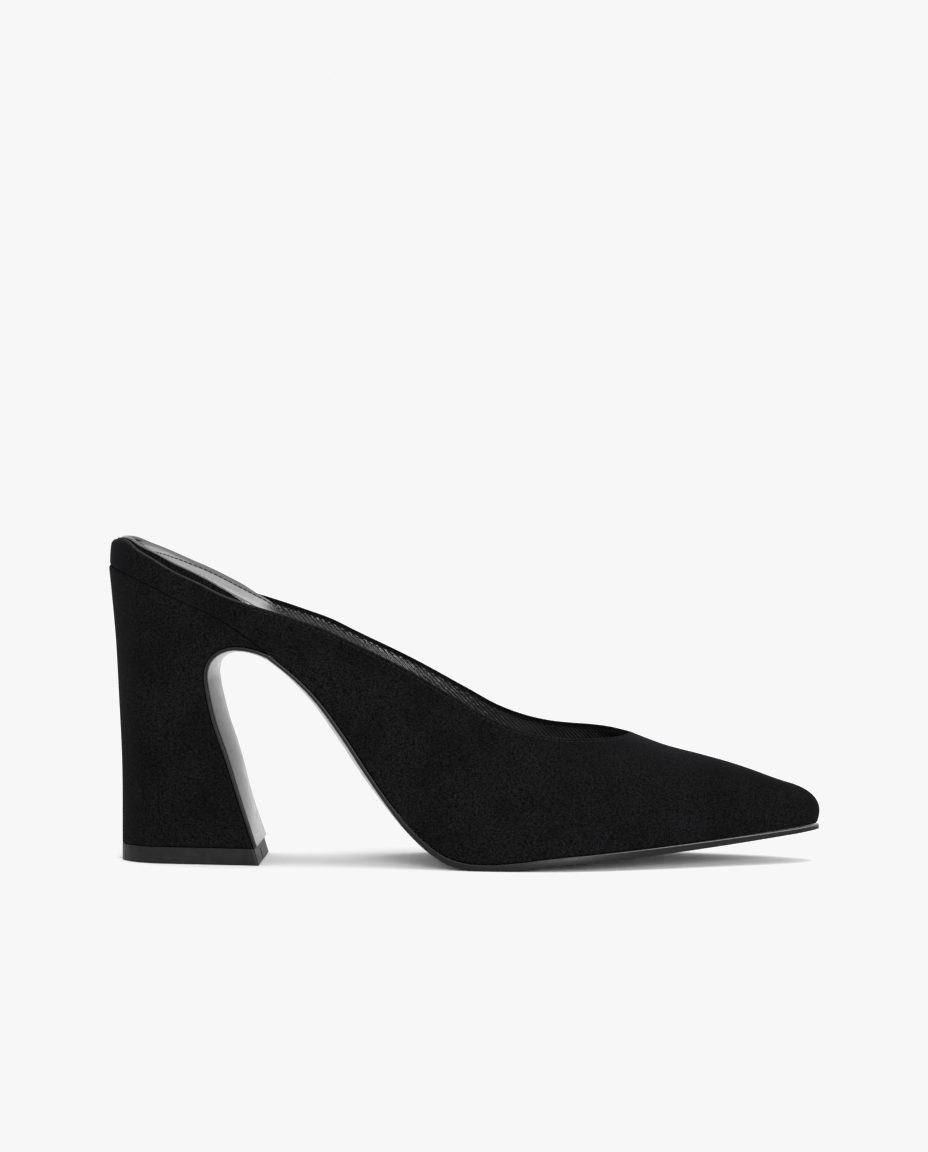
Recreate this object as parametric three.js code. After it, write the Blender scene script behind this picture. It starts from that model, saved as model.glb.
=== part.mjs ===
// A pointed high-heeled mule for the right foot, covered in suede: a hollow upper with a V-shaped throat,
// an insole, an outsole that bends round the arch and down the front of the heel, a flared block heel
// and its rubber top lift.
//
// Millimetres, +Z up. "at" is the distance forward of the back of the heel seat. The toe points along +X,
// the outer side of the foot is -Y and the inner side is +Y. Everything is worked out from the tables below,
// which give the last's plan, its heights from the side and the heel, one row for each section.
import * as THREE from "three";
import { mergeVertices } from "three/addons/utils/BufferGeometryUtils.js";

// ---------------------------------------------------------------- driving sizes

const LENGTH = 239.9; // feather line, heel back to toe tip
const THROAT = 177; // where the V of the throat ends on the instep
const TIP = 55.5; // where the heel block runs out between upper and outsole
const GAP = 0.32; // between faces that meet
const WELT = { by: 0.7, from: 92, full: 118, least: 0.15 }; // how far, and where, the outsole stands out
const COVER = 0.4; // how far the heel's cover stands out past the upper above it
const LIFT_HEIGHT = 5.7;
const HEEL_ROUND = 24; // length of the rounded back of the seat, in plan
const TOE_ROUND = 9; // length of the rounded toe, in plan
const HEEL_LEAN = { reach: 46, by: 22 }; // how far the sections lean forward over the heel seat
const TOE_LEAN = { reach: 44, by: 14, power: 2.5 }; // and back over the toes
const SHANK_SOLE = 1.1; // the outsole's thickness round the arch and down the breast

const ACROSS = 8; // faces across a plate
const FULL_SPAN = 24; // breadth past which a plate has its full crown
const WALL_FACES = 9; // faces up the wall of the upper
const ARCH_STEPS = 24; // rows round the arch and down the breast
const AROUND = 20; // faces along one side of the heel
const NUDGE = 0.05; // a small step along the last, for directions

// Stretches of the last from toe to heel, and which end of each its sections crowd towards.
const STRETCHES = [
  { from: LENGTH, to: 216, count: 10, crowd: "start" },
  { from: 216, to: THROAT, count: 6, crowd: "even" },
  { from: THROAT, to: 145, count: 9, crowd: "start" },
  { from: 145, to: 125, count: 3, crowd: "even" },
  { from: 125, to: 101, count: 6, crowd: "even" },
  { from: 101, to: TIP, count: 7, crowd: "even" },
  { from: TIP, to: 46, count: 2, crowd: "even" },
  { from: 46, to: 0, count: 12, crowd: "end" },
];

// Plan of the last's feather line: its middle (off the axis, towards the inner side) and half its breadth.
const PLAN = [
  { at: 0, middle: 0, half: 25.0 },
  { at: 20, middle: 0, half: 26.4 },
  { at: 40, middle: -0.2, half: 26.6 },
  { at: 55, middle: -0.7, half: 25.2 },
  { at: 70, middle: -1.5, half: 24.0 },
  { at: 85, middle: -2.2, half: 23.8 },
  { at: 100, middle: -2.5, half: 26.5 },
  { at: 115, middle: -2.2, half: 31.2 },
  { at: 130, middle: -1.4, half: 35.4 },
  { at: 145, middle: -0.5, half: 37.5 },
  { at: 160, middle: 0.4, half: 37.0 },
  { at: 175, middle: 1.5, half: 33.6 },
  { at: 190, middle: 2.5, half: 28.0 },
  { at: 205, middle: 3.2, half: 21.8 },
  { at: 220, middle: 3.8, half: 15.3 },
  { at: 232, middle: 4.1, half: 10.0 },
  { at: 240, middle: 4.2, half: 6.6 },
];

// Height of the feather line, where upper and insole meet what is under them: heel, then outsole.
const FEATHER = [
  { at: 0, z: 100.6 },
  { at: 16, z: 94.3 },
  { at: 24, z: 90.4 },
  { at: 36, z: 85.0 },
  { at: 43, z: 80.9 },
  { at: 48.3, z: 77.2 },
  { at: 55.5, z: 71.6 },
  { at: 62, z: 66.6 },
  { at: 67, z: 62.2 },
  { at: 72.3, z: 56.6 },
  { at: 80.7, z: 45.3 },
  { at: 90, z: 31.3 },
  { at: 96.7, z: 22.0 },
  { at: 103, z: 14.4 },
  { at: 109.4, z: 8.6 },
  { at: 115.6, z: 4.6 },
  { at: 122, z: 2.7 },
  { at: 129, z: 2.3 },
  { at: 140, z: 3.1 },
  { at: 150, z: 4.4 },
  { at: 165, z: 5.7 },
  { at: 186, z: 7.4 },
  { at: 213, z: 9.9 },
  { at: 240, z: 12.7 },
];

// The instep line: its height, and how far it lies to the inner side of the plan's middle.
// Behind the throat it is the line that the cut-away upper would have had.
const INSTEP = [
  { at: 0, z: 140, inward: 0 },
  { at: 30, z: 131, inward: 0 },
  { at: 60, z: 121, inward: 0.5 },
  { at: 80, z: 111, inward: 1.2 },
  { at: 100, z: 97.5, inward: 2.0 },
  { at: 120, z: 80, inward: 2.4 },
  { at: 134, z: 68.5, inward: 2.5 },
  { at: 146, z: 60, inward: 2.5 },
  { at: 153, z: 55.9, inward: 2.5 },
  { at: 162, z: 51.1, inward: 2.4 },
  { at: 169, z: 47.1, inward: 2.3 },
  { at: 173, z: 45.0, inward: 2.2 },
  { at: 177, z: 43.5, inward: 2.1 },
  { at: 188, z: 39.4, inward: 1.6 },
  { at: 201, z: 36.0, inward: 1.0 },
  { at: 211, z: 33.2, inward: 0.6 },
  { at: 220, z: 30.0, inward: 0.3 },
  { at: 229, z: 25.7, inward: 0 },
];

// The top edge: height of the suede's fold, of the lining's rim above it round the heel seat,
// and how much higher the inner side is.
const TOPLINE = [
  { at: 0, fold: 109.9, rim: 0.5, inner: 0 },
  { at: 4.2, fold: 110.1, rim: 0.3, inner: -0.8 },
  { at: 10.2, fold: 106.9, rim: 1.2, inner: -1.1 },
  { at: 16, fold: 104.0, rim: 1.9, inner: -1.3 },
  { at: 24.3, fold: 99.3, rim: 2.6, inner: -0.8 },
  { at: 32.6, fold: 95.5, rim: 2.5, inner: -0.5 },
  { at: 40, fold: 91.8, rim: 2.1, inner: 0 },
  { at: 46, fold: 89.5, rim: 1.0, inner: 0.3 },
  { at: 52, fold: 87.6, rim: 0, inner: 0.5 },
  { at: 66, fold: 83.1, rim: 0, inner: 0.6 },
  { at: 74.3, fold: 80.2, rim: 0, inner: 0.6 },
  { at: 81.6, fold: 76.7, rim: 0, inner: 0.6 },
  { at: 101.7, fold: 66.9, rim: 0, inner: 0.7 },
  { at: 120.5, fold: 56.3, rim: 0, inner: 0.8 },
  { at: 130, fold: 50.8, rim: 0, inner: 0.9 },
  { at: 139.3, fold: 47.0, rim: 0, inner: 1.1 },
  { at: 148.8, fold: 44.6, rim: 0, inner: 1.4 },
  { at: 156, fold: 43.6, rim: 0, inner: 1.8 },
  { at: 162.5, fold: 43.3, rim: 0, inner: 1.9 },
  { at: 169, fold: 43.1, rim: 0, inner: 1.7 },
  { at: 173.5, fold: 43.2, rim: 0, inner: 1.0 },
  { at: 177, fold: 43.5, rim: 0, inner: 0 },
];

// Thickness of the upper's wall, how far it swells out above the feather line,
// how much the outsole and seat are crowned across, and the outsole's thickness at its edge.
const MAKE = [
  { at: 0, wall: 2.6, swell: 0.2, crown: 0.0, sole: 1.1 },
  { at: 20, wall: 2.6, swell: 0.3, crown: 0.2, sole: 1.1 },
  { at: 40, wall: 2.4, swell: 0.4, crown: 1.2, sole: 1.1 },
  { at: 55, wall: 1.9, swell: 0.6, crown: 2.1, sole: 1.1 },
  { at: 80, wall: 1.8, swell: 1.0, crown: 3.2, sole: 1.2 },
  { at: 97, wall: 1.8, swell: 1.2, crown: 2.5, sole: 1.4 },
  { at: 110, wall: 1.8, swell: 1.2, crown: 1.4, sole: 1.9 },
  { at: 125, wall: 1.8, swell: 1.2, crown: 0.8, sole: 2.3 },
  { at: 200, wall: 1.8, swell: 1.0, crown: 0.7, sole: 2.3 },
  { at: 225, wall: 1.8, swell: 1.0, crown: 0.4, sole: 1.9 },
  { at: 240, wall: 1.8, swell: 3.0, crown: 0.2, sole: 1.6 },
];

// Height of the insole's upper edge, and how far its middle is cupped below it.
const SEAT = [
  { at: 3, top: 109.9, cup: 0.5 },
  { at: 15, top: 105.4, cup: 1.2 },
  { at: 25, top: 100.8, cup: 1.4 },
  { at: 35, top: 96.1, cup: 1.4 },
  { at: 45, top: 90.9, cup: 1.3 },
  { at: 52, top: 87.3, cup: 1.2 },
  { at: 62, top: 80.4, cup: 1.0 },
  { at: 70, top: 72.8, cup: 0.9 },
  { at: 80, top: 60.4, cup: 0.8 },
  { at: 90, top: 46.0, cup: 0.7 },
  { at: 100, top: 31.0, cup: 0.6 },
  { at: 110, top: 18.2, cup: 0.5 },
  { at: 120, top: 10.0, cup: 0.5 },
  { at: 130, top: 6.9, cup: 0.4 },
  { at: 145, top: 7.4, cup: 0.4 },
  { at: 186, top: 10.7, cup: 0.3 },
  { at: 240, top: 15.6, cup: 0.2 },
];

// The line that the outsole's edge follows from the tip of the heel block round the arch and down the
// breast of the heel: place, half breadth there, and crown across.
const ARCH = [
  { at: 55.5, z: 71.6, half: 25.1, crown: 2.6 },
  { at: 51.9, z: 73.0, half: 25.2, crown: 2.3 },
  { at: 47.0, z: 74.0, half: 25.0, crown: 1.9 },
  { at: 42.0, z: 73.9, half: 24.6, crown: 1.9 },
  { at: 37.8, z: 72.2, half: 24.1, crown: 2.0 },
  { at: 34.9, z: 69.2, half: 23.5, crown: 2.1 },
  { at: 33.5, z: 65.0, half: 22.9, crown: 2.3 },
  { at: 33.8, z: 59.6, half: 22.3, crown: 2.5 },
  { at: 36.2, z: 48.2, half: 21.6, crown: 2.8 },
  { at: 40.3, z: 36.2, half: 21.3, crown: 2.6 },
  { at: 45.1, z: 21.0, half: 21.5, crown: 1.6 },
  { at: 50.1, z: 6.0, half: 22.0, crown: 0.2 },
];

// Plan of the top lift: half its breadth, from a rounded back.
const LIFT = { back: 3.9, front: 52.1, round: 15, halfBehind: 16.4, halfFront: 22.2, rake: 1.6 };

// The back of the heel block, from the lift up to the seam.
const HEEL_BACK = [
  { z: 6.0, at: 3.9 },
  { z: 34, at: 3.8 },
  { z: 55, at: 2.9 },
  { z: 79, at: 1.6 },
  { z: 89, at: 0.7 },
  { z: 100.6, at: -0.4 },
];

const SUEDE = { color: 0x161617, roughness: 0.95, metalness: 0 };
const LEATHER = { color: 0x1a1a1b, roughness: 0.35, metalness: 0 };
const RUBBER = { color: 0x1c1c1d, roughness: 0.5, metalness: 0 };

// ---------------------------------------------------------------- curves

const square = (v) => v * v;
const clamp = (v, low, high) => Math.min(Math.max(v, low), high);

/** A smooth curve through one column of a table, with Catmull-Rom slopes; it runs straight past its ends. */
function column(rows, name, by = "at") {
  const x = rows.map((row) => row[by]);
  const y = rows.map((row) => row[name]);
  const last = x.length - 1;
  const chord = (i) => (y[i + 1] - y[i]) / (x[i + 1] - x[i]);
  const slope = x.map((_, i) => {
    if (i === 0) return chord(0);
    if (i === last) return chord(last - 1);
    const before = x[i] - x[i - 1];
    const after = x[i + 1] - x[i];
    return (chord(i - 1) * after + chord(i) * before) / (before + after);
  });
  return (at) => {
    if (at <= x[0]) return y[0] + slope[0] * (at - x[0]);
    if (at >= x[last]) return y[last] + slope[last] * (at - x[last]);
    const i = x.findIndex((_, k) => at < x[k + 1]);
    const span = x[i + 1] - x[i];
    const t = (at - x[i]) / span;
    const s = 1 - t;
    return (
      y[i] * (1 + 2 * t) * s * s +
      y[i + 1] * (3 - 2 * t) * t * t +
      span * t * s * (slope[i] * s - slope[i + 1] * t)
    );
  };
}

const middle = column(PLAN, "middle");
const halfBreadth = column(PLAN, "half");
const feather = column(FEATHER, "z");
const instep = column(INSTEP, "z");
const inward = column(INSTEP, "inward");
const fold = column(TOPLINE, "fold");
const rim = column(TOPLINE, "rim");
const innerRise = column(TOPLINE, "inner");
const wall = column(MAKE, "wall");
const swell = column(MAKE, "swell");
const crown = column(MAKE, "crown");
const soleEdge = column(MAKE, "sole");
const seatTop = column(SEAT, "top");
const seatCup = column(SEAT, "cup");
const heelBack = column(HEEL_BACK, "at", "z");

/** Fraction of full breadth at a rounded end: a quarter circle over its first stretch. */
const roundEnd = (from, length) => Math.sqrt(1 - square(1 - clamp(from / length, 0, 1)));

/** Slope of the feather line, and the length of a line along it for each unit of its run. */
const featherSlope = (at) => feather(at + 0.5) - feather(at - 0.5);
const steepness = (at) => Math.hypot(1, featherSlope(at));

/** A point of the feather line in plan; side is -1 on the outer side and 1 on the inner. */
function outline(at, side) {
  const ends = roundEnd(at, HEEL_ROUND) * roundEnd(LENGTH - at, TOE_ROUND);
  return new THREE.Vector2(at, middle(at) + side * halfBreadth(at) * ends);
}

/** The point of the instep line that a section of the upper aims at. */
function crest(at) {
  const overHeel = HEEL_LEAN.by * square(clamp(1 - at / HEEL_LEAN.reach, 0, 1));
  const intoToe = clamp(1 - (240 - at) / TOE_LEAN.reach, 0, 1);
  const to = at + overHeel - TOE_LEAN.by * Math.pow(intoToe, TOE_LEAN.power);
  return new THREE.Vector3(to, middle(to) + inward(to), instep(to));
}

const CROWD = { start: square, even: (t) => t, end: (t) => 1 - square(1 - t) };

/** Where the sections of the last lie, from toe to heel. */
const STATIONS = [
  ...STRETCHES.flatMap(({ from, to, count, crowd }) =>
    Array.from({ length: count }, (_, k) => from + (to - from) * CROWD[crowd](k / count)),
  ),
  0,
];

// ---------------------------------------------------------------- bodies from nets

/** Triangles of a net of points, row after row; flip turns its face over. */
function weave(net, corners, flip = false) {
  const same = (a, b) => a.distanceTo(b) < 1e-4;
  const add = (a, b, c) => {
    if (same(a, b) || same(b, c) || same(c, a)) return;
    for (const p of flip ? [a, c, b] : [a, b, c]) corners.push(p.x, p.y, p.z);
  };
  for (let i = 0; i + 1 < net.length; i++) {
    for (let j = 0; j + 1 < net[i].length; j++) {
      const [a, b, c, d] = [net[i][j], net[i + 1][j], net[i + 1][j + 1], net[i][j + 1]];
      add(a, b, c);
      add(a, c, d);
    }
  }
}

/** One closed named body from nets that share their edges. */
function body(name, finish, nets) {
  const corners = [];
  for (const { net, flip } of nets) weave(net, corners, flip);
  const loose = new THREE.BufferGeometry();
  loose.setAttribute("position", new THREE.Float32BufferAttribute(corners, 3));
  const geometry = mergeVertices(loose, 1e-3);
  geometry.computeVertexNormals();
  const mesh = new THREE.Mesh(geometry, new THREE.MeshStandardMaterial(finish));
  mesh.name = name;
  return mesh;
}

/** A row of points from a to b, bent by shape, whose bulge is 0 at both ends and on a short row. */
function rungs(a, b, shape) {
  const broad = clamp(a.distanceTo(b) / FULL_SPAN, 0, 1);
  return Array.from({ length: ACROSS + 1 }, (_, k) => {
    if (k === 0) return a;
    if (k === ACROSS) return b;
    return shape(a.clone().lerp(b, k / ACROSS), broad * (1 - square((2 * k) / ACROSS - 1)));
  });
}

/** The strips that close a plate between its top and low rows: along one edge of it. */
const edgeStrip = (rows, k) => rows.map(({ top, low }) => [top.at(k), low.at(k)]);

// ---------------------------------------------------------------- the upper

/** A point of the upper's outer face: up runs from 0 at the feather line to 1 at the instep line. */
function upperPoint(at, side, up) {
  const foot = outline(at, side);
  const top = crest(at);
  const base = feather(at) + GAP * 0.5 * steepness(at);
  const turn = (up * Math.PI) / 2;
  const toTop = new THREE.Vector2(top.x - foot.x, top.y - foot.y);
  const bulge = swell(at) * Math.sin(2 * turn) * Math.cos(turn);
  const plan = foot.addScaledVector(toTop, 1 - Math.cos(turn) - bulge / toTop.length());
  return new THREE.Vector3(plan.x, plan.y, base + (top.z - base) * Math.sin(turn));
}

/** How far up a section the height z lies. */
function share(at, z, most) {
  const ratio = (z - feather(at)) / (crest(at).z - feather(at));
  return (Math.asin(clamp(ratio, 0, most)) * 2) / Math.PI;
}

/** How far up a section its top edge lies; 1 in front of the throat. It homes in on the topline's height. */
function topEdge(at, side) {
  if (at >= THROAT) return 1;
  let up = 0.5;
  for (let pass = 0; pass < 40; pass++) {
    const over = upperPoint(at, side, up).x;
    const height = fold(over) + rim(over) + (side > 0 ? innerRise(over) : 0);
    up = (up + share(at, height, 1)) / 2;
  }
  return up;
}

/** Direction out of the upper's wall at a point of a section. */
function upperNormal(at, side, up) {
  const step = 0.004;
  const crossways = new THREE.Vector3(0, 1, 0);
  const low = upperPoint(at, side, Math.max(up - step, 0));
  const rise = up < 1 ? upperPoint(at, side, Math.min(up + step, 1)).sub(low) : crossways;
  const atTip = at <= 0 || at >= LENGTH;
  const behind = upperPoint(Math.max(at - NUDGE, 0), side, up);
  const along = atTip ? crossways : upperPoint(Math.min(at + NUDGE, LENGTH), side, up).sub(behind);
  if (up >= 1) along.y = 0; // level across the instep line
  const normal = rise.clone().cross(along).normalize();
  const fromCrest = upperPoint(at, side, up).sub(crest(at)).setZ(0);
  const outwards = up < 1 ? normal.dot(fromCrest) : normal.z;
  return outwards < 0 ? normal.negate() : normal;
}

/** The upper's wall: outer and inner face, and the edges that close them. */
function makeUpper() {
  const section = (at, side) => {
    const top = topEdge(at, side);
    const ups = Array.from({ length: WALL_FACES + 1 }, (_, k) => (top * k) / WALL_FACES);
    const outer = ups.map((up) => upperPoint(at, side, up));
    const base = outer[0].z;
    const inner = ups.map((up, k) => {
      const point = outer[k].clone().addScaledVector(upperNormal(at, side, up), -wall(at));
      return point.setZ(k === 0 ? base : Math.max(point.z, base));
    });
    return { at, outer, inner };
  };
  const outerSide = STATIONS.map((at) => section(at, -1));
  const innerSide = STATIONS.slice(1, -1).reverse().map((at) => section(at, 1));
  const ring = [...outerSide, ...innerSide, outerSide[0]];
  const behind = ring.filter(({ at }) => at <= THROAT);
  const edge = (sections, k) => sections.map(({ outer, inner }) => [outer.at(k), inner.at(k)]);
  return body("upper", SUEDE, [
    { net: ring.map(({ outer }) => outer), flip: true },
    { net: ring.map(({ inner }) => inner) },
    { net: edge(behind, -1), flip: true },
    { net: edge(ring, 0) },
  ]);
}

// ---------------------------------------------------------------- the insole

/** A point on the inside of the upper's wall, with a gap to it, at a given height. */
function insidePoint(at, side, height) {
  const up = share(at, height, 0.98);
  const away = upperNormal(at, side, up).setZ(0).normalize();
  const lean = Math.max(0.6, Math.cos((up * Math.PI) / 2)); // the wall is thicker where it is cut level
  return upperPoint(at, side, up)
    .addScaledVector(away, -wall(at) / lean - 1.4 * GAP)
    .setZ(height);
}

/** The height of the face under upper and insole: it sags below the feather line towards its middle. */
const underFace = (at, bulge) => feather(at) - crown(at) * steepness(at) * bulge;

/** One edge of the insole at a section: its top and its low corner. */
function insoleEdge(at, side) {
  let height = seatTop(at);
  for (let pass = 0; pass < 4; pass++) height = seatTop(insidePoint(at, side, height).x);
  const low = insidePoint(at, side, feather(at) + GAP * steepness(at));
  low.z = feather(low.x) + GAP * steepness(low.x);
  return { top: insidePoint(at, side, height), low };
}

function makeInsole() {
  const rows = STATIONS.map((at) => {
    const outerEdge = insoleEdge(at, -1);
    const innerEdge = at <= 0 || at >= LENGTH ? outerEdge : insoleEdge(at, 1);
    return {
      top: rungs(outerEdge.top, innerEdge.top, (p, bulge) => p.setZ(p.z - seatCup(p.x) * bulge)),
      low: rungs(outerEdge.low, innerEdge.low, (p, bulge) =>
        p.setZ(underFace(p.x, bulge) + GAP * steepness(p.x)),
      ),
    };
  });
  return body("insole", LEATHER, [
    { net: rows.map(({ top }) => top), flip: true },
    { net: rows.map(({ low }) => low) },
    { net: edgeStrip(rows, 0) },
    { net: edgeStrip(rows, -1), flip: true },
  ]);
}

// ---------------------------------------------------------------- the outsole

/** The arch and breast in side view, from the tip of the heel block (0) down to the lift (1). */
const archCurve = new THREE.CatmullRomCurve3(
  ARCH.map(({ at, z }) => new THREE.Vector3(at, 0, z)),
  false,
  "centripetal",
);
const archRows = ARCH.map((row, k) => ({ ...row, along: k / (ARCH.length - 1) }));
const archHalf = column(archRows, "half", "along");
const archCrown = column(archRows, "crown", "along");
const ARCH_TOP = 0.24; // up to here the arch is crowned straight down, past it square to itself
const ARCH_SWAY = 0.6; // by here the arch has come over to the heel's own axis
const archMiddle = (along) => middle(TIP) * square(clamp(1 - along / ARCH_SWAY, 0, 1));

/** One cross-section of the arch and breast: its edge line, the way out of it and the way it is crowned. */
function archSection(along) {
  const place = archCurve.getPoint(along);
  const run = archCurve.getTangent(along);
  const out = new THREE.Vector3(-run.z, 0, run.x); // off the heel, into the open arch
  const upright = along < ARCH_TOP;
  const crownWay = upright ? new THREE.Vector3(0, 0, -1) : out;
  const depth = archCrown(along) / (upright ? Math.max(0.7, -out.z) : 1);
  return { place, out, crownWay, depth, half: archHalf(along), off: archMiddle(along) };
}

/** Points across the arch, at a distance out from its edge line's face. */
function archRow({ place, out, crownWay, depth, half, off }, distance) {
  const end = (side) =>
    new THREE.Vector3(place.x, off + side * half, place.z).addScaledVector(out, distance);
  return rungs(end(-1), end(1), (p, bulge) => p.addScaledVector(crownWay, depth * bulge));
}

/** The outsole's edge in plan: the last's outline, standing out by the welt under the forepart. */
function weltLine(at, side) {
  const stand = WELT.by * clamp((at - WELT.from) / (WELT.full - WELT.from), WELT.least, 1);
  if (at >= LENGTH) return new THREE.Vector2(LENGTH + stand, middle(LENGTH));
  const along = outline(Math.min(at + NUDGE, LENGTH), side).sub(outline(at - NUDGE, side));
  const away = new THREE.Vector2(-along.y, along.x).normalize().multiplyScalar(side);
  return outline(at, side).addScaledVector(away, stand);
}

/** Points across the forepart or shank, at a distance down from the face that it carries. */
function shankRow(at, distance) {
  const down = new THREE.Vector3(featherSlope(at), 0, -1).normalize().multiplyScalar(distance);
  const place = ({ x, y }, bulge) => new THREE.Vector3(x, y, underFace(x, bulge)).add(down);
  const [outerEdge, innerEdge] = [-1, 1].map((side) => place(weltLine(at, side), 0));
  return rungs(outerEdge, innerEdge, (p, bulge) => place(p.sub(down), bulge));
}

/** The outsole: flat under the forepart, then up the shank, round the arch and down the breast. */
function makeOutsole() {
  const shank = STATIONS.filter((at) => at > TIP).map((at) => {
    const low = shankRow(at, GAP * 0.5 + soleEdge(at));
    for (const point of low) point.z = Math.max(point.z, 0);
    return { top: shankRow(at, GAP * 0.5), low };
  });
  const arch = Array.from({ length: ARCH_STEPS + 1 }, (_, k) => {
    const section = archSection(k / ARCH_STEPS);
    return { top: archRow(section, GAP * 0.5), low: archRow(section, GAP * 0.5 + SHANK_SOLE) };
  });
  const rows = [...shank, ...arch];
  const end = rows.at(-1);
  return body("outsole", LEATHER, [
    { net: rows.map(({ top }) => top), flip: true },
    { net: rows.map(({ low }) => low) },
    { net: edgeStrip(rows, 0) },
    { net: edgeStrip(rows, -1), flip: true },
    { net: [end.top, end.low], flip: true },
  ]);
}

// ---------------------------------------------------------------- the heel block and its lift

/** Share of the way along the heel, crowded at its rounded back. */
const alongHeel = (t) => t * t * (1.6 - 0.6 * t);

/** The lift's plan, from its rounded back (0) to its front edge (1). */
function liftPoint(t, side, z) {
  const front = LIFT.front - (LIFT.rake * z) / LIFT_HEIGHT;
  const at = THREE.MathUtils.lerp(LIFT.back, front, alongHeel(t));
  const roundTo = LIFT.back + LIFT.round;
  const half = THREE.MathUtils.mapLinear(at, roundTo, LIFT.front, LIFT.halfBehind, LIFT.halfFront);
  return new THREE.Vector3(at, side * half * roundEnd(at - LIFT.back, LIFT.round), z);
}

// The heel block's side face is a Coons patch: t runs from its back (0) to its front edge (1),
// v from the lift (0) up to the seam (1).
const HEEL_BOTTOM = LIFT_HEIGHT + GAP;
const HEEL_TIP = { back: 2.2, along: 0.08 }; // how far short of the tip it stops, on the seam and on the arch
const FLARE = 2.2; // how late the heel's breadth changes from the lift's to the seat's
const archPart = (v) => archSection(1 - v * (1 - HEEL_TIP.along));

function heelEdges(side) {
  const frontFoot = archPart(0).place.x - GAP * 0.5;
  const bottom = (t) => {
    const at = THREE.MathUtils.lerp(LIFT.back, frontFoot, alongHeel(t));
    return liftPoint(t, side, HEEL_BOTTOM).setX(at);
  };
  const seam = (t) => {
    const at = (TIP - HEEL_TIP.back) * alongHeel(t);
    const stand = COVER * (1 - alongHeel(t));
    const z = feather(at) - GAP * 0.5 * steepness(at);
    return new THREE.Vector3(at - stand * (1 - t), outline(at, side).y + side * stand, z);
  };
  const back = (v) => {
    const z = THREE.MathUtils.lerp(HEEL_BOTTOM, seam(0).z, v);
    return new THREE.Vector3(heelBack(z), 0, z);
  };
  const front = (v) => {
    const { place, out, off, half } = archPart(v);
    const { x, z } = place.clone().addScaledVector(out, -GAP);
    return new THREE.Vector3(x, off + side * half, v > 0 ? z : HEEL_BOTTOM);
  };
  return { bottom, seam, back, front };
}

/** A point of one side of the heel block. */
function heelPoint({ bottom, seam, back, front }, t, v) {
  const s = alongHeel(t);
  const { lerp } = THREE.MathUtils;
  const patch = (axis) =>
    lerp(bottom(t)[axis], seam(t)[axis], v) +
    lerp(back(v)[axis], front(v)[axis], s) -
    lerp(lerp(bottom(0)[axis], bottom(1)[axis], s), lerp(seam(0)[axis], seam(1)[axis], s), v);
  const up = Math.pow(v, FLARE);
  const toFront = front(v).y / lerp(bottom(1).y, seam(1).y, up);
  return new THREE.Vector3(patch("x"), lerp(bottom(t).y, seam(t).y, up) * lerp(1, toFront, s), patch("z"));
}

function makeHeel() {
  const face = (side) => {
    const edges = heelEdges(side);
    return Array.from({ length: AROUND + 1 }, (_, i) =>
      Array.from({ length: ARCH_STEPS + 1 }, (_, k) => heelPoint(edges, i / AROUND, k / ARCH_STEPS)),
    );
  };
  const [outer, inner] = [face(-1), face(1)];
  inner[0] = outer[0];
  const seat = outer.map((points, i) =>
    rungs(points.at(-1), inner[i].at(-1), (p, bulge) =>
      p.setZ(p.z - crown(p.x) * steepness(p.x) * bulge),
    ),
  );
  const breast = outer.at(-1).map((p, k) => {
    const { crownWay, depth } = archPart(k / ARCH_STEPS);
    return rungs(p, inner.at(-1)[k], (q, bulge) => q.addScaledVector(crownWay, depth * bulge));
  });
  for (const point of breast[0]) point.z = HEEL_BOTTOM;
  breast[breast.length - 1] = seat.at(-1);
  const base = outer.map((points, i) => rungs(points[0], inner[i][0], (p) => p));
  base[base.length - 1] = breast[0];
  return body("heel_block", SUEDE, [
    { net: outer },
    { net: inner, flip: true },
    { net: seat },
    { net: breast, flip: true },
    { net: base, flip: true },
  ]);
}

function makeLift() {
  const ring = (z) =>
    Array.from({ length: AROUND + 1 }, (_, i) => [-1, 1].map((side) => liftPoint(i / AROUND, side, z)));
  const [low, high] = [ring(0), ring(LIFT_HEIGHT)];
  for (const level of [low, high]) level[0][1] = level[0][0];
  const side = (k) => low.map((pair, i) => [pair[k], high[i][k]]);
  const front = [0, 1].map((k) => [low.at(-1)[k], high.at(-1)[k]]);
  return body("top_lift", RUBBER, [
    { net: low, flip: true },
    { net: high },
    { net: side(0) },
    { net: side(1), flip: true },
    { net: front },
  ]);
}

// ---------------------------------------------------------------- the shoe

const shoe = new THREE.Group();
shoe.add(makeUpper(), makeInsole(), makeOutsole(), makeHeel(), makeLift());

// The origin is the middle of the shoe's box, on the floor.
const box = new THREE.Box3().setFromObject(shoe, true);
const centre = box.getCenter(new THREE.Vector3());
shoe.position.set(-centre.x, -centre.y, -box.min.z);

export default shoe;
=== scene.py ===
"""Looks of a pointed high-heeled suede mule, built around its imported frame.

The shoe's surfaces are worked out from the same last as its frame: a plan, side heights and a heel, each a
short table with a smooth curve through every column. "at" is the distance in millimetres forward of the back
of the heel seat, side is -1 on the outer side of the foot and 1 on the inner, and up runs from 0 at the
feather line, where upper and sole meet, to 1 at the instep line. Lengths are in millimetres until a mesh is
made, which is in metres.
"""

import logging
from dataclasses import dataclass, field
from enum import Enum
from typing import Callable, NamedTuple, Optional, Sequence

import bmesh
import bpy
import numpy as np
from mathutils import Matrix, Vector
from numpy.typing import NDArray


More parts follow.
